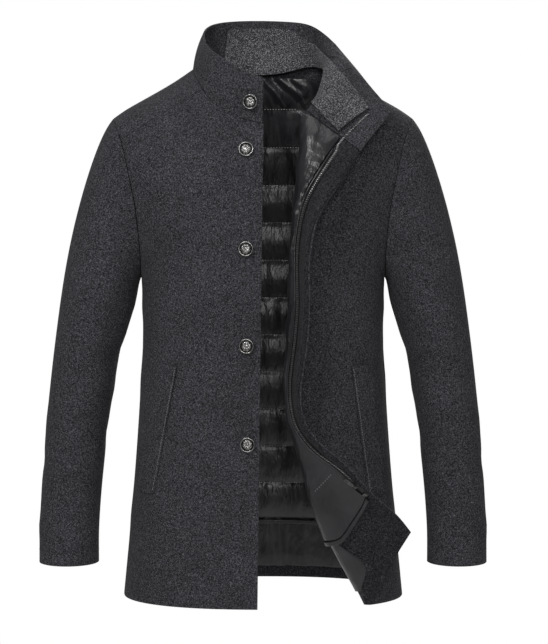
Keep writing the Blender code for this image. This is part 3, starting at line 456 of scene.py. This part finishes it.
def swell(piece, lines, middle):
    """Raises ridges outward from the middle line of a piece."""
    for vertex in piece.data.vertices:
        rise = ridges(vertex.co, lines)
        if abs(rise) > 0.01:
            centre = middle(vertex.co.z)
            out = Vector((vertex.co.x - centre[0], vertex.co.y - centre[1], 0)).normalized()
            vertex.co += out * (rise * MM)


shell = {}
for node, (width, length, held, lines) in SHELL.items():
    piece = cloth_from(node)
    if "sleeve" in node:
        sleeve_points = np.array([v.co for v in piece.data.vertices])
        swell(piece, lines, sleeve_middle)
    elif lines:
        flap_clear = [line for line in lines if node != "front_left" or line[0] > 0 or line[6] > 0]
        swell(piece, flap_clear, lambda z: (0, 0))
    fold_edges(piece, EDGE_ROLL)
    shell[node] = dress(piece, wool_cloth, "wool", node)
print("shell pieces:", len(shell), "faces:", sum(len(p.data.polygons) for p in shell.values()))

# %% [markdown]
# ## The quilted liner
# The liner is two layers of satin with a thin filling, sewn across every 57 mm. Between the lines
# it puffs out, at each line it is pinched, and the stitching gathers small folds that fade within
# a centimetre. Under the collar the loose satin falls in a fan of deeper folds. The puffs come
# from the frame; the pinch, the folds and the gathers are added here as heights over the cloth
# the liner lies on, so both of its layers move together.

# %% Quilt the back liner
HEM = -760.0
NECK_BACK = 15.0
NECK_HALF = 88.0
YOKE_SLOPE = 0.9
LINER_HEM = -668.0
QUILT_PITCH = 57.0
BACK_RADIUS = 120
PINCH_DEPTH, PINCH_WIDTH = 1.7, 3.2
FULLNESS = 1.2
FOLD_HEIGHT, FOLD_WIDTH = 2.4, 19
GATHER_HEIGHT, GATHER_WIDTH, GATHER_FADE = 1.3, 5.5, 7
FAN_ABOVE = -0.07
LINER_EDGE = 0.4


def channel_of(point):
    """Number of the quilted channel at a point; its fraction is the part of the way up."""
    x, z = abs(point.x) / MM, point.z / MM
    top = NECK_BACK - YOKE_SLOPE * max(x - NECK_HALF, 0.0)
    level = HEM + (z - HEM) / (top - HEM) * (NECK_BACK - HEM)
    return (level - LINER_HEM) / QUILT_PITCH


def quilting(point, channel):
    """Pinch at the nearest line, fullness between, upright folds and gathers, millimetres."""
    number, up = math.floor(channel), channel % 1.0
    off = min(up, 1 - up) * QUILT_PITCH
    girth = math.atan2(point.x, point.y) * BACK_RADIUS
    pinch = -PINCH_DEPTH * math.exp(-(off / PINCH_WIDTH) ** 2)
    full = FULLNESS * math.sin(math.pi * up) ** 0.7
    folds = noise.noise((girth / FOLD_WIDTH, number * 5.7, point.z * 5))
    fold = FOLD_HEIGHT * folds * math.sin(math.pi * up) ** 0.5
    gathers = noise.noise((girth / GATHER_WIDTH, number * 3.3 + round(up), 0))
    gather = GATHER_HEIGHT * gathers * math.exp(-off / GATHER_FADE)
    return pinch + full + fold + gather


NECK_FAN = [
    (-14, 2, 8, -42, 2.5, 6, 1),
    (2, 4, 34, -34, 5.5, 5, 1),
    (12, 4, 58, -40, -3.0, 5, 1),
    (26, 4, 60, -22, 4.5, 4.5, 1),
    (44, 4, 66, -10, 3.0, 4, 1),
    (-30, 4, -52, -30, 3.0, 6, 1),
]
back_support = tree_of("back")
liner_back = cloth_from("liner_back", 3)


def back_liner_height(point):
    rise = quilting(point, channel_of(point))
    return rise + ridges(point, NECK_FAN) if point.z > FAN_ABOVE else rise


press(liner_back, back_support, back_liner_height)
fold_edges(liner_back, LINER_EDGE)
dress(liner_back, black_satin, "satin", "liner_back")
print("back liner faces:", len(liner_back.data.polygons))

# %% [markdown]
# On the opened front the liner's edge is gathered onto the zip tape, which pulls short folds
# square to the zip. To place them, the tape is cut at many heights: each cut gives the tape's
# middle, the direction across it and the direction it faces.

# %% Measure the zip tape
def slices_of(node, heights):
    """Middle, half width and across direction of a ribbon at heights in millimetres."""
    found = []
    for height in heights:
        shape = bmesh.new()
        shape.from_mesh(frame["nodes"][node].data)
        cut = bmesh.ops.bisect_plane(shape, geom=shape.verts[:] + shape.edges[:] + shape.faces[:],
                                     plane_co=(0, 0, height * MM), plane_no=(0, 0, 1))
        rim = [v.co.copy() for v in cut["geom_cut"] if isinstance(v, bmesh.types.BMVert)]
        shape.free()
        if len(rim) < 3:
            continue
        spread = np.array(rim)
        middle = (spread.min(axis=0) + spread.max(axis=0)) / 2
        axis = np.linalg.svd(spread - spread.mean(axis=0))[2][0]
        if axis[1] > 0:
            axis = -axis
        reach = (spread - middle) @ axis
        found.append((Vector(middle), (reach.max() - reach.min()) / 2, Vector(axis)))
    return found


ZIP_HEIGHTS = np.linspace(-574, -72, 90)
tape = slices_of("zip_tape", ZIP_HEIGHTS)
print("tape cuts:", len(tape), "tape width about", round(2000 * tape[40][1], 1), "mm")

# %% [markdown]
# Short gathers stand square to the zip and die away from it, and softer folds run on past them.
# Both are heights over the wool that the liner lies on, and both stop above the opened corner,
# where the satin lies smooth.

# %% Gather the front liner along the zip
def nearest_on(line, point):
    """Distance to a line of places, and the length run along it."""
    best, place, run = 1e9, 0.0, 0.0
    for i, spot in enumerate(line):
        if i:
            run += (spot - line[i - 1]).length
        off = (spot - point).length
        if off < best:
            best, place = off, run
    return best, place


def smooth_line(places, rounds=3):
    """A line of places with its small jumps evened out."""
    line = np.array(places)
    for _ in range(rounds):
        line[1:-1] = (line[:-2] + 2 * line[1:-1] + line[2:]) / 4
    return [Vector(p) for p in line]


liner_edge = smooth_line([middle - across * half for middle, half, across in tape])
PLAIN_BELOW = -0.50
GROWS_OVER = 0.03
ZIP_GATHER_PITCH = 0.0125
ZIP_GATHER_REACH = 0.012


def front_liner_height(point):
    if point.z < PLAIN_BELOW:
        return 0.0
    off, run = nearest_on(liner_edge, point)
    grow = min((point.z - PLAIN_BELOW) / GROWS_OVER, 1.0)
    wave = math.sin(2 * math.pi * run / ZIP_GATHER_PITCH + 2.2 * noise.noise((run * 60, 0, 0)))
    gather = 1.1 * wave * math.exp(-off / ZIP_GATHER_REACH)
    fold = 1.3 * noise.noise((run * 45, off * 40, 3.0))
    return grow * (gather + fold)


liner_left = cloth_from("liner_left", 3)
press(liner_left, tree_of("front_left"), front_liner_height)
fold_edges(liner_left, LINER_EDGE)
dress(liner_left, black_satin, "satin", "liner_left")
print("front liner faces:", len(liner_left.data.polygons))

# %% [markdown]
# ## Facing, hems, bindings and linings
# These are single layers. The hem turn-ups and the facing are the shell's wool at half its tone,
# which is painted shade; the loose lining under the liner is satin with a few deep soft folds,
# and the inner collar is grey twill.

# %% List the single layers
LOWER_FOLDS = [
    (7, -770, 4, -630, 3.4, 6, 1),
    (27, -770, 22, -630, 3.0, 5, 1),
    (35, -770, 41, -630, -2.2, 5, 1),
    (60, -770, 66, -630, 2.4, 9, 1),
    (-40, -770, -36, -630, 3.0, 9, 1),
    (-90, -770, -98, -630, 2.6, 10, 1),
    (110, -770, 104, -630, 2.6, 10, 1),
]
LAYERS = {
    # The facing and the hem turn-ups take the wool darkened as painted shade.
    "facing_left": (painted_shade_wool, "wool", 0.085, 0.71, "folded"),
    "hem_left": (painted_shade_wool, "wool", 0.032, 0.05, "folded"),
    "hem_back": (painted_shade_wool, "wool", 0.56, 0.04, "folded"),
    "inner_collar": (grey_twill, "twill", 0.31, 0.085, "folded"),
    "lining_left": (black_satin, "satin", 0.09, 0.13, "folded"),
    "lining_back": (black_satin, "satin", 0.56, 0.125, "hung"),
    "zip_tape": (tape_cloth, "tape", 0.011, 0.60, "folded"),
}
print("single layers:", len(LAYERS))

# %% [markdown]
# The facing rolls a little beside its stitched free edge. The inner collar stands behind the outer
# one. Its open end is drawn out to its tip, planes through the camera trim its rim to the line
# that is seen, and whatever would touch the outer collar is moved just clear of it.

# %% Shape the facing and the inner collar
EDGE_ROUND = 6.0
ROLL_HEIGHT, ROLL_WIDTH = 2.4, 3.2
facing = slices_of("facing_left", np.linspace(-600, -112, 120))
facing_edge = smooth_line([middle + across * half for middle, half, across in facing])


def facing_height(point):
    """Soft roll beside the stitched free edge of the facing."""
    off = nearest_on(facing_edge, point)[0] / MM
    return ROLL_HEIGHT * math.exp(-((off - EDGE_ROUND) / ROLL_WIDTH) ** 2)


COLLAR_RIM = ((54.3, 63.2), (76.3, 50.1), (105.7, 21.0), (127.7, -3.8), (152.0, -36.0))
COLLAR_END = Vector((0.130, -0.093, -0.052))
END_OUTWARD = Vector((0.46, -0.54, -0.70)).normalized()
END_REACH = 0.012
END_LENGTH = 0.045
END_FROM_X = 0.08
CLEARANCE = 0.25 * MM
TOUCH_DEPTH = 2.5 * MM


def shape_inner_collar(piece, rim, outer):
    """Lengthens the open end of the inner collar, then trims its rim to the line that is seen."""
    for vertex in piece.data.vertices:
        inward = (COLLAR_END - vertex.co).dot(END_OUTWARD)
        if vertex.co.x > END_FROM_X and inward < END_LENGTH:
            vertex.co += END_OUTWARD * (END_REACH * (1 - max(inward, 0) / END_LENGTH))
    shape = bmesh.new()
    shape.from_mesh(piece.data)
    for (x0, z0), (x1, z1) in zip(rim, rim[1:]):
        start, end = Vector((x0, 0, z0)) * MM, Vector((x1, 0, z1)) * MM
        outward = (end - start).cross(CAMERA_AT - start).normalized()
        outward = outward if outward.z > 0 else -outward
        parts = shape.verts[:] + shape.edges[:] + shape.faces[:]
        bmesh.ops.bisect_plane(shape, geom=parts, plane_co=start, plane_no=outward, clear_outer=True)
        open_edges = [edge for edge in shape.edges if edge.is_boundary]
        bmesh.ops.holes_fill(shape, edges=open_edges, sides=0)
    shape.to_mesh(piece.data)
    shape.free()
    for vertex in piece.data.vertices:
        near, normal, _, _ = outer.find_nearest(vertex.co)
        off = (vertex.co - near).dot(normal)
        if -TOUCH_DEPTH < off < CLEARANCE:
            vertex.co = near + normal * CLEARANCE


print("facing cuts:", len(facing))

# %% [markdown]
# Each layer is now sewn from its wall. Bindings are piped edges, so they are rounder, and the pocket
# welts are folded strips of the shell's wool.

# %% Sew the single layers
LAYER_EDGE, BINDING_EDGE, WELT_EDGE = 0.35, 1.2, 0.7

layers = {}
for node, (finish, slot, *_) in LAYERS.items():
    piece = cloth_from(node, 3 if node == "lining_back" else 2)
    if node == "lining_back":
        press(piece, back_support, lambda point: ridges(point, LOWER_FOLDS))
    if node == "facing_left":
        press(piece, tree_of("front_left"), facing_height)
    if node == "inner_collar":
        shape_inner_collar(piece, COLLAR_RIM, tree_of("collar_back", "collar_left", "front_left"))
    fold_edges(piece, LAYER_EDGE)
    layers[node] = dress(piece, finish, slot, node)
for node in ("liner_binding_left", "liner_binding_back"):
    piece = fold_edges(cloth_from(node), BINDING_EDGE)
    layers[node] = dress(piece, black_satin, "satin", node)
for node in ("welt_right", "welt_left"):
    layers[node] = dress(fold_edges(cloth_from(node), WELT_EDGE), wool_cloth, "wool", node)
print("layers:", len(layers), "faces:", sum(len(p.data.polygons) for p in layers.values()))

# %% [markdown]
# ## The cut pieces
# For each cloth piece the script prints its area: half the surface of a thin closed wall, or the size
# it had when it lay flat on the cutting table, where that is smaller.

# %% Measure the cut pieces
def cloth_area(piece):
    """Area of one face of a thin closed wall, square metres."""
    return sum(face.area for face in piece.data.polygons) / 2


def declare_sheet(piece, width, length):
    area = min(cloth_area(piece), width * length)
    return round(area, 4)


for node, (width, length, held, _) in SHELL.items():
    print(node, declare_sheet(shell[node], width, length))
for node, (_, _, width, length, held) in LAYERS.items():
    print(node, declare_sheet(layers[node], width, length))
for node, width, length in (("welt_right", 0.034, 0.20), ("welt_left", 0.034, 0.20)):
    print(node, declare_sheet(layers[node], width, length))

# %% [markdown]
# ## Sewing
# Stitches are what make the pieces read as sewn: a row of short threads, each a small spindle half
# sunk in the cloth. One helper strings them along a line of places. The quilting shows as a dotted
# line, the hem and cuffs as a faint blind stitch.

# %% A helper for rows of stitches
SPINDLE = ((-0.5, 0.35), (-0.3, 1.0), (0.3, 1.0), (0.5, 0.35))
SPINDLE_SIDES = 5


def evenly(line, pitch):
    """Places a pitch apart along a line, each with its direction."""
    places, left = [], 0.0
    for a, b in zip(line, line[1:]):
        step = b - a
        length = step.length
        if length == 0:
            continue
        while left < length:
            places.append((a + step * (left / length), step.normalized()))
            left += pitch
        left -= length
    return places


def thread_row(name, lines, finish, slot, pitch=4.0, length=2.6, thick=0.35):
    """One mesh of stitches along lines of places; sizes in millimetres."""
    points, faces = [], []
    for line in lines:
        for place, ahead in evenly(line, pitch * MM):
            side = ahead.orthogonal().normalized()
            up = ahead.cross(side)
            start = len(points)
            for at, wide in SPINDLE:
                for k in range(SPINDLE_SIDES):
                    turn = 2 * math.pi * k / SPINDLE_SIDES
                    round_to = side * math.cos(turn) + up * math.sin(turn)
                    points.append(place + ahead * (at * length * MM) + round_to * (wide * thick * MM))
            for r in range(len(SPINDLE) - 1):
                for k in range(SPINDLE_SIDES):
                    a, n = start + r * SPINDLE_SIDES, (k + 1) % SPINDLE_SIDES
                    faces.append((a + k, a + n, a + n + SPINDLE_SIDES, a + k + SPINDLE_SIDES))
            faces.append(tuple(start + k for k in reversed(range(SPINDLE_SIDES))))
            last = start + (len(SPINDLE) - 1) * SPINDLE_SIDES
            faces.append(tuple(last + k for k in range(SPINDLE_SIDES)))
    mesh = bpy.data.meshes.new(name)
    mesh.from_pydata(points, [], faces)
    mesh.shade_smooth()
    return dress(new_piece(name, mesh), finish, slot)


def cloth_tree(*pieces):
    """Search tree over finished cloth."""
    points, faces = [], []
    for piece in pieces:
        start = len(points)
        points += [v.co.copy() for v in piece.data.vertices]
        faces += [[start + k for k in face.vertices] for face in piece.data.polygons]
    return BVHTree.FromPolygons(points, faces)


def laid_on(tree, starts, aims, lift=0.1):
    """Places where rays from starts towards aims meet a cloth, lifted off it a little."""
    line = []
    for start, aim in zip(starts, aims):
        hit, normal, _, _ = tree.ray_cast(start, (aim - start).normalized())
        if hit:
            towards = (start - aim).normalized()
            line.append(hit + towards * (lift * MM))
    return line


print("stitch helper is ready")

# %% [markdown]
# Rays lay the stitches on the cloth: from the coat's middle outward for the quilting, and from
# outside inward for the hem and the cuffs. Each place where a ray meets the cloth joins the line.

# %% Stitch the quilting, hem and cuffs
LINER_LINES = range(1, 12)
liner_tree = cloth_tree(liner_back)
quilt_lines = []
for number in LINER_LINES:
    starts, aims = [], []
    for turn in np.linspace(-74, 74, 90):
        out = Vector((math.sin(math.radians(turn)), math.cos(math.radians(turn)), 0))
        x = 0.12 * out.x / MM
        top = NECK_BACK - YOKE_SLOPE * max(abs(x) * 1.4 - NECK_HALF, 0.0)
        level = LINER_HEM + number * QUILT_PITCH
        z = HEM + (level - HEM) / (NECK_BACK - HEM) * (top - HEM)
        starts.append(Vector((0, 0, z * MM)))
        aims.append(Vector((out.x * 0.2, out.y * 0.2, z * MM)))
    quilt_lines.append(laid_on(liner_tree, starts, aims, 0.3))
thread_row("quilting_back", quilt_lines, pale_thread, "satin", pitch=4.2, length=2.4, thick=0.55)

body_tree = cloth_tree(shell["front_right"], shell["back"])
HEM_STITCH = HEM + 26
hem_lines = []
for first, last in ((184, 262), (2, 178)):
    turns = [math.radians(t) for t in np.linspace(first, last, 120)]
    starts = [Vector((0.4 * math.cos(t), 0.4 * math.sin(t), HEM_STITCH * MM)) for t in turns]
    aims = [Vector((0, 0, HEM_STITCH * MM)) for _ in turns]
    hem_lines.append(laid_on(body_tree, starts, aims, 0.0))
CUFF_STITCH = -689
for node in ("sleeve_right", "sleeve_left"):
    tree = cloth_tree(shell[node])
    sleeve_points = np.array([v.co for v in shell[node].data.vertices])
    centre = sleeve_middle(CUFF_STITCH * MM)
    turns = np.linspace(0, 2 * math.pi, 90)
    aim = Vector((centre[0], centre[1], CUFF_STITCH * MM))
    starts = [aim + Vector((0.1 * math.cos(t), 0.1 * math.sin(t), 0)) for t in turns]
    hem_lines.append(laid_on(tree, starts, [aim] * len(starts), 0.0))
thread_row("hem_stitches", hem_lines, black_thread, "wool", pitch=5.5, length=3.6, thick=0.32)
print("quilt lines:", len(quilt_lines), "hem lines:", len(hem_lines))

# %% [markdown]
# The welts of the pockets are edge stitched on the side towards the front, and a line of stitching
# runs along the facing's free edge.

# %% Stitch the welts and the facing
WELT_STITCHES = ((-125.5, -417, -159.5, -595, "welt_right"), (130.5, -419, 155.5, -597, "welt_left"))
welt_lines = []
for top_x, top_z, low_x, low_z, node in WELT_STITCHES:
    tree = cloth_tree(layers[node])
    places = [Vector((top_x + (low_x - top_x) * f, -400, top_z + (low_z - top_z) * f)) * MM
              for f in np.linspace(0, 1, 30)]
    welt_lines.append(laid_on(tree, places, [p + Vector((0, 0.3, 0)) for p in places], 0.0))
thread_row("welt_stitches", welt_lines, pale_thread, "wool", pitch=3.4, length=2.4, thick=0.22)

EDGE_STITCH = 11.0
free_edge = smooth_line([middle + across * (half - EDGE_STITCH * MM) for middle, half, across in facing])
facing_tree = cloth_tree(layers["facing_left"])
edge_line = [facing_tree.find_nearest(p + Vector((-0.01, -0.012, 0)))[0] for p in free_edge]
thread_row("facing_stitches", [edge_line], black_thread, "wool", pitch=4.0, length=2.8, thick=0.35)
print("welt lines:", len(welt_lines), "facing places:", len(edge_line))

# %% [markdown]
# Rolled seams lie along the joins of the collar with the back and with the right front. Inside the
# neck a pale row of stitches holds the fan of satin under the inner collar, and a short pale row
# crosses the satin of the opened front. The seams' tubes are made together with the zip's cords.

# %% Sew the neck and the opened front
NECK_SEAM = 1.7
TURN_WINDOW = 9
INSIDE = 0.985
SEAM_LIFT, NECK_ROW_LIFT = -0.0004, 0.003


def low_edge(node, first, last, steps):
    """Lowest places of a wall, turn by turn round the neck, in degrees from the back."""
    source = frame["nodes"][node]
    points = np.array([source.matrix_world @ v.co for v in source.data.vertices])
    turns = np.degrees(np.arctan2(points[:, 0], points[:, 1]))
    line = []
    for middle in np.linspace(first, last, steps):
        near = points[np.abs(turns - middle) < TURN_WINDOW]
        line.append(Vector(near[near[:, 2].argmin()]))
    return smooth_line(line, 2)


def just_inside(line, lift):
    """The same line a little nearer to the neck's middle, and higher by lift metres."""
    return [Vector((INSIDE * p.x, INSIDE * p.y, p.z + lift)) for p in line]


neck_seams = {
    "back": just_inside(low_edge("collar_back", -95, 95, 26), SEAM_LIFT),
    "right": just_inside(low_edge("collar_right", -172, -112, 20), SEAM_LIFT),
}
collar_line = just_inside(low_edge("inner_collar", -30, 60, 24), NECK_ROW_LIFT)
thread_row("neck_stitches", [collar_line], pale_thread, "twill", pitch=3.4, length=2.2, thick=0.5)
opened_tree = cloth_tree(liner_left)
row_aims = [Vector((96 - 22 * f, -165, -562 - 23 * f)) * MM for f in np.linspace(0, 1, 20)]
front_row = laid_on(opened_tree, [CAMERA_AT] * 20, row_aims, 0.2)
thread_row("front_stitches", [front_row], pale_thread, "satin", pitch=4.2, length=1.6, thick=0.4)
row_length = sum((b - a).length for a, b in zip(collar_line, collar_line[1:]))
print("neck stitches over", round(row_length, 3), "m")

# %% [markdown]
# ## Zip teeth
# One row of metal teeth is clamped on a thin cord along the tape. A tooth is a small block with a
# narrower head, and the row repeats it every 3.2 mm from the slider to the collar's tip.

# %% Set the teeth
TOOTH_PITCH = 3.2
TOOTH = ((-1.3, 0.7, 0.9), (0.2, 0.7, 0.9), (0.8, 0.42, 0.65), (1.5, 0.5, 0.7))
CHAIN_ACROSS, CHAIN_OUT = 0.0022, 0.0011
CORD_ACROSS, CORD_OUT = 0.0035, 0.0024
ZIP_CORD, LINER_CORD = 0.7, 1.5


def tube(name, line, radius, finish, slot, sides=8):
    """Round cord along a line of places; radius in millimetres."""
    points, faces = [], []
    for i, place in enumerate(line):
        ahead = (line[min(i + 1, len(line) - 1)] - line[max(i - 1, 0)]).normalized()
        side = ahead.cross(Vector((0, 1, 0))).normalized()
        up = ahead.cross(side)
        for k in range(sides):
            turn = 2 * math.pi * k / sides
            points.append(place + (side * math.cos(turn) + up * math.sin(turn)) * (radius * MM))
    for i in range(len(line) - 1):
        for k in range(sides):
            a, n = i * sides, (k + 1) % sides
            faces.append((a + k, a + n, a + n + sides, a + k + sides))
    faces.append(tuple(reversed(range(sides))))
    faces.append(tuple(len(points) - sides + k for k in range(sides)))
    mesh = bpy.data.meshes.new(name)
    mesh.from_pydata(points, [], faces)
    mesh.shade_smooth()
    return dress(new_piece(name, mesh), finish, slot)


across_line = smooth_line([across for _, _, across in tape])
middle_line = smooth_line([middle for middle, _, _ in tape])
facing_out = []
for i, middle in enumerate(middle_line):
    ahead = (middle_line[min(i + 1, len(tape) - 1)] - middle_line[max(i - 1, 0)]).normalized()
    out = ahead.cross(across_line[i]).normalized()
    facing_out.append(out if out.x < 0 else -out)
ribbon = list(zip(middle_line, across_line, facing_out))
chain = [m + a * CHAIN_ACROSS + o * CHAIN_OUT for m, a, o in ribbon]
cord = [m - a * CORD_ACROSS + o * CORD_OUT for m, a, o in ribbon]
COLLAR_ZIP = ((106.5, -99), (115.5, -88), (127, -76), (138, -65.5), (149.5, -54.5))
collar_tree = cloth_tree(shell["collar_left"], shell["front_left"], layers["facing_left"],
                         layers["inner_collar"])
aims = [Vector((x, -110, z)) * MM for x, z in COLLAR_ZIP]
chain += laid_on(collar_tree, [CAMERA_AT] * len(aims), aims, 1.2)
across_line += [across_line[-1]] * (len(chain) - len(across_line))
facing_out += [facing_out[-1]] * (len(chain) - len(facing_out))
print("zip above the tape ends at", tuple(round(c, 3) for c in chain[-1]))

points, faces = [], []
rows = evenly(chain, TOOTH_PITCH * MM)
for place, ahead in rows:
    i = min(range(len(chain)), key=lambda k: (chain[k] - place).length)
    across = across_line[i].normalized()
    out = facing_out[i]
    start = len(points)
    for at, half, tall in TOOTH:
        for u, v in ((-1, -1), (1, -1), (1, 1), (-1, 1)):
            points.append(place + (across * at + ahead * (u * half) + out * (v * tall)) * MM)
    for r in range(len(TOOTH) - 1):
        for k in range(4):
            a, n = start + 4 * r, (k + 1) % 4
            faces.append((a + k, a + n, a + n + 4, a + k + 4))
    faces.append((start + 3, start + 2, start + 1, start))
    last = start + 4 * (len(TOOTH) - 1)
    faces.append((last, last + 1, last + 2, last + 3))
mesh = bpy.data.meshes.new("zip_teeth")
mesh.from_pydata(points, [], faces)
dress(new_piece("zip_teeth", mesh), pale_metal, "metal")
for side, seam in neck_seams.items():
    tube(f"neck_seam_{side}", seam, NECK_SEAM, wool_cloth, "wool")
tube("zip_cord", chain, ZIP_CORD, tape_cloth, "tape")
tube("liner_edge_cord", cord, LINER_CORD, black_satin, "satin")
print("teeth:", len(rows))

# %% [markdown]
# ## Buttons and zip hardware
# Each button is cast metal: a raised rim, a groove that stays dark, and a domed middle with a
# relief of leaves round a small boss. The slider and its tab keep the frame's shape, with their
# edges rounded.

# %% Cast the buttons
BUTTON_RADIUS = 10.8
BUTTON_PROFILE = (
    (0.00, 4.9), (0.12, 4.85), (0.20, 4.6), (0.30, 4.75), (0.44, 4.7), (0.58, 4.3), (0.68, 3.7),
    (0.73, 3.3), (0.77, 3.4), (0.80, 4.4), (0.84, 5.2), (0.90, 5.5), (0.96, 5.2), (1.00, 4.3),
    (1.00, 3.2), (0.95, 2.5), (0.42, 2.3), (0.42, 0.5), (0.0, 0.5),
)
PROFILE_TALL = 5.3
RELIEF_ABOVE = 3.2
SUNK_BELOW = 3.0
DOME_FROM, DOME_TO, GROOVE_TO = 0.2, 0.66, 0.815
LEAVES = 8
BUTTON_SIDES = 96


def button_relief(part, turn):
    """Height in millimetres of the leaves on the dome."""
    if not 0.2 < part < 0.7:
        return 0.0
    body = math.sin(math.pi * (part - 0.2) / 0.5)
    leaf = abs(math.cos(LEAVES * turn / 2 + 2.0 * part)) ** 0.6
    vein = 0.25 * math.cos(LEAVES * 3 * turn)
    return body * (1.1 * leaf - 0.5 + vein * body)


def cast_button(number):
    source = frame["nodes"][f"button_{number}"]
    cad = np.array([source.matrix_world @ v.co for v in source.data.vertices])
    centre = (cad.min(axis=0) + cad.max(axis=0)) / 2
    spread = cad - cad.mean(axis=0)
    normal = Vector(np.linalg.svd(spread, full_matrices=False)[2][2])
    normal = normal if normal.y < 0 else -normal
    depth = (cad - centre) @ np.array(normal)
    foot = Vector(centre) + normal * depth.min()
    lift = (depth.max() - depth.min()) / MM - PROFILE_TALL
    side = normal.cross(Vector((0, 0, 1))).normalized()
    up = side.cross(normal)
    fine = [BUTTON_PROFILE[0]]
    for (r0, h0), (r1, h1) in zip(BUTTON_PROFILE, BUTTON_PROFILE[1:]):
        steps = 3 if r1 < 0.75 and r1 > r0 else 1
        fine += [(r0 + (r1 - r0) * k / steps, h0 + (h1 - h0) * k / steps) for k in range(1, steps + 1)]
    points = []
    for part, height in fine[1:-1]:
        for k in range(BUTTON_SIDES):
            turn = 2 * math.pi * k / BUTTON_SIDES
            radial = side * math.cos(turn) + up * math.sin(turn)
            rise = height + lift + (button_relief(part, turn) if height > RELIEF_ABOVE else 0.0)
            points.append(foot + (radial * (part * BUTTON_RADIUS) + normal * rise) * MM)
    rings = len(fine) - 2
    top, under = len(points), len(points) + 1
    points += [foot + normal * ((fine[0][1] + lift) * MM), foot + normal * (fine[-1][1] * MM)]
    faces = []
    for k in range(BUTTON_SIDES):
        n = (k + 1) % BUTTON_SIDES
        faces.append((top, k, n))
        for r in range(rings - 1):
            a = r * BUTTON_SIDES
            faces.append((a + k, a + k + BUTTON_SIDES, a + n + BUTTON_SIDES, a + n))
        a = (rings - 1) * BUTTON_SIDES
        faces.append((a + k, under, a + n))
    mesh = bpy.data.meshes.new(f"cast_button_{number}")
    mesh.from_pydata(points, [], faces)
    mesh.shade_smooth()
    piece = dress(new_piece(mesh.name, mesh), button_metal, "metal", f"button_{number}")
    mesh.materials.append(blackened_metal)
    for face in mesh.polygons:
        out = face.center - foot
        height = out.dot(normal) / MM - lift
        part = (out - normal * out.dot(normal)).length / (BUTTON_RADIUS * MM)
        groove = DOME_TO < part < GROOVE_TO
        between_leaves = DOME_FROM < part <= DOME_TO and height < 4.55 - 0.6 * part
        face.material_index = 1 if groove or between_leaves or height < SUNK_BELOW else 0
    return piece


for number in range(1, 6):
    made = cast_button(number)
print("button faces:", len(made.data.polygons))

# %% [markdown]
# Slider, retainer box and pull tab are small castings. Their walls come from the frame, and a
# narrow bevel catches the light along the edges. The tab has a body of its own, because it turns.

# %% Round the slider, the box and the tab
def rounded(node, width, body):
    source = frame["nodes"][node]
    mesh = source.data.copy()
    mesh.transform(source.matrix_world)
    piece = new_piece(node + "_cast", mesh)
    bevel = piece.modifiers.new("edges", "BEVEL")
    bevel.width = width * MM
    bevel.segments = 3
    bevel.limit_method = "ANGLE"
    bevel.angle_limit = math.radians(35)
    settle(piece)
    piece.data.shade_smooth()
    piece.data.set_sharp_from_angle(angle=math.radians(50))
    return dress(piece, dark_metal, "metal", node, body=body)


for node, width, body in (("zip_slider", 0.35, "coat"), ("zip_box", 0.5, "coat"),
                          ("zip_pull_tab", 0.25, "pull_tab")):
    piece = rounded(node, width, body)
    print(piece.name, len(piece.data.polygons), "faces")

# %% [markdown]
# ## Floor and light
# The coat hangs as on a standing wearer, so the pale floor lies well below its hem. A soft key
# light from the upper left models the folds, one near the camera reaches into the opening, a weak
# one fills the right side, a broad one overhead makes the tone fall off towards the hem, and one
# behind lights the back.
# The sky is white to the eye and dimmer as a light, so the silhouette stays dark.

# %% Build the studio
FLOOR_HEIGHT = -1.6
FLOOR_RADIUS = 3.1


def lay_floor():
    shape = bmesh.new()
    bmesh.ops.create_circle(shape, cap_ends=True, segments=96, radius=FLOOR_RADIUS)
    mesh = bpy.data.meshes.new("floor")
    shape.to_mesh(mesh)
    shape.free()
    floor = bpy.data.objects.new("floor", mesh)
    floor.location.z = FLOOR_HEIGHT
    paper = Finish("pale_paper", Roughness=0.9)
    paper.colour(paper.ramp(paper.grain(6.0), (0.3, 0.93), (0.7, 0.96)))
    mesh.materials.append(paper.material)
    bpy.context.scene.collection.objects.link(floor)


def lamp(name, place, aim, size, power):
    light = bpy.data.lights.new(name, "AREA")
    light.shape = "RECTANGLE"
    light.size, light.size_y = size
    light.energy = power
    holder = bpy.data.objects.new(name, light)
    holder.location = place
    holder.rotation_euler = (Vector(aim) - Vector(place)).to_track_quat("-Z", "Y").to_euler()
    bpy.context.scene.collection.objects.link(holder)


def white_sky(as_light):
    """World that is plain white where it is seen and dimmer where it lights."""
    sky = bpy.data.worlds.new("studio")
    sky.use_nodes = True
    nodes, links = sky.node_tree.nodes, sky.node_tree.links
    seen = nodes.new("ShaderNodeLightPath")
    strength = nodes.new("ShaderNodeMapRange")
    strength.inputs["To Min"].default_value = as_light
    strength.inputs["To Max"].default_value = 1.0
    links.new(seen.outputs["Is Camera Ray"], strength.inputs["Value"])
    nodes["Background"].inputs["Color"].default_value = (1, 1, 1, 1)
    links.new(strength.outputs["Result"], nodes["Background"].inputs["Strength"])
    bpy.context.scene.world = sky


lay_floor()
lamp("key", (-1.0, -2.1, 1.3), (0, 0, -0.05), (0.8, 0.6), 33)
lamp("front", (0.14, -3.3, 0.6), (0, 0, -0.2), (0.7, 0.7), 28)
lamp("fill", (1.7, -2.2, 0.6), (0, 0, -0.3), (1.0, 1.4), 5)
lamp("top", (0.0, -0.2, 2.3), (0, 0, 0), (2.0, 2.0), 22)
lamp("back", (0.7, 3.0, 1.1), (0, 0, -0.3), (1.2, 1.2), 48)
white_sky(0.22)
bpy.context.scene.view_settings.view_transform = "Standard"
print("lights:", len(bpy.data.lights))
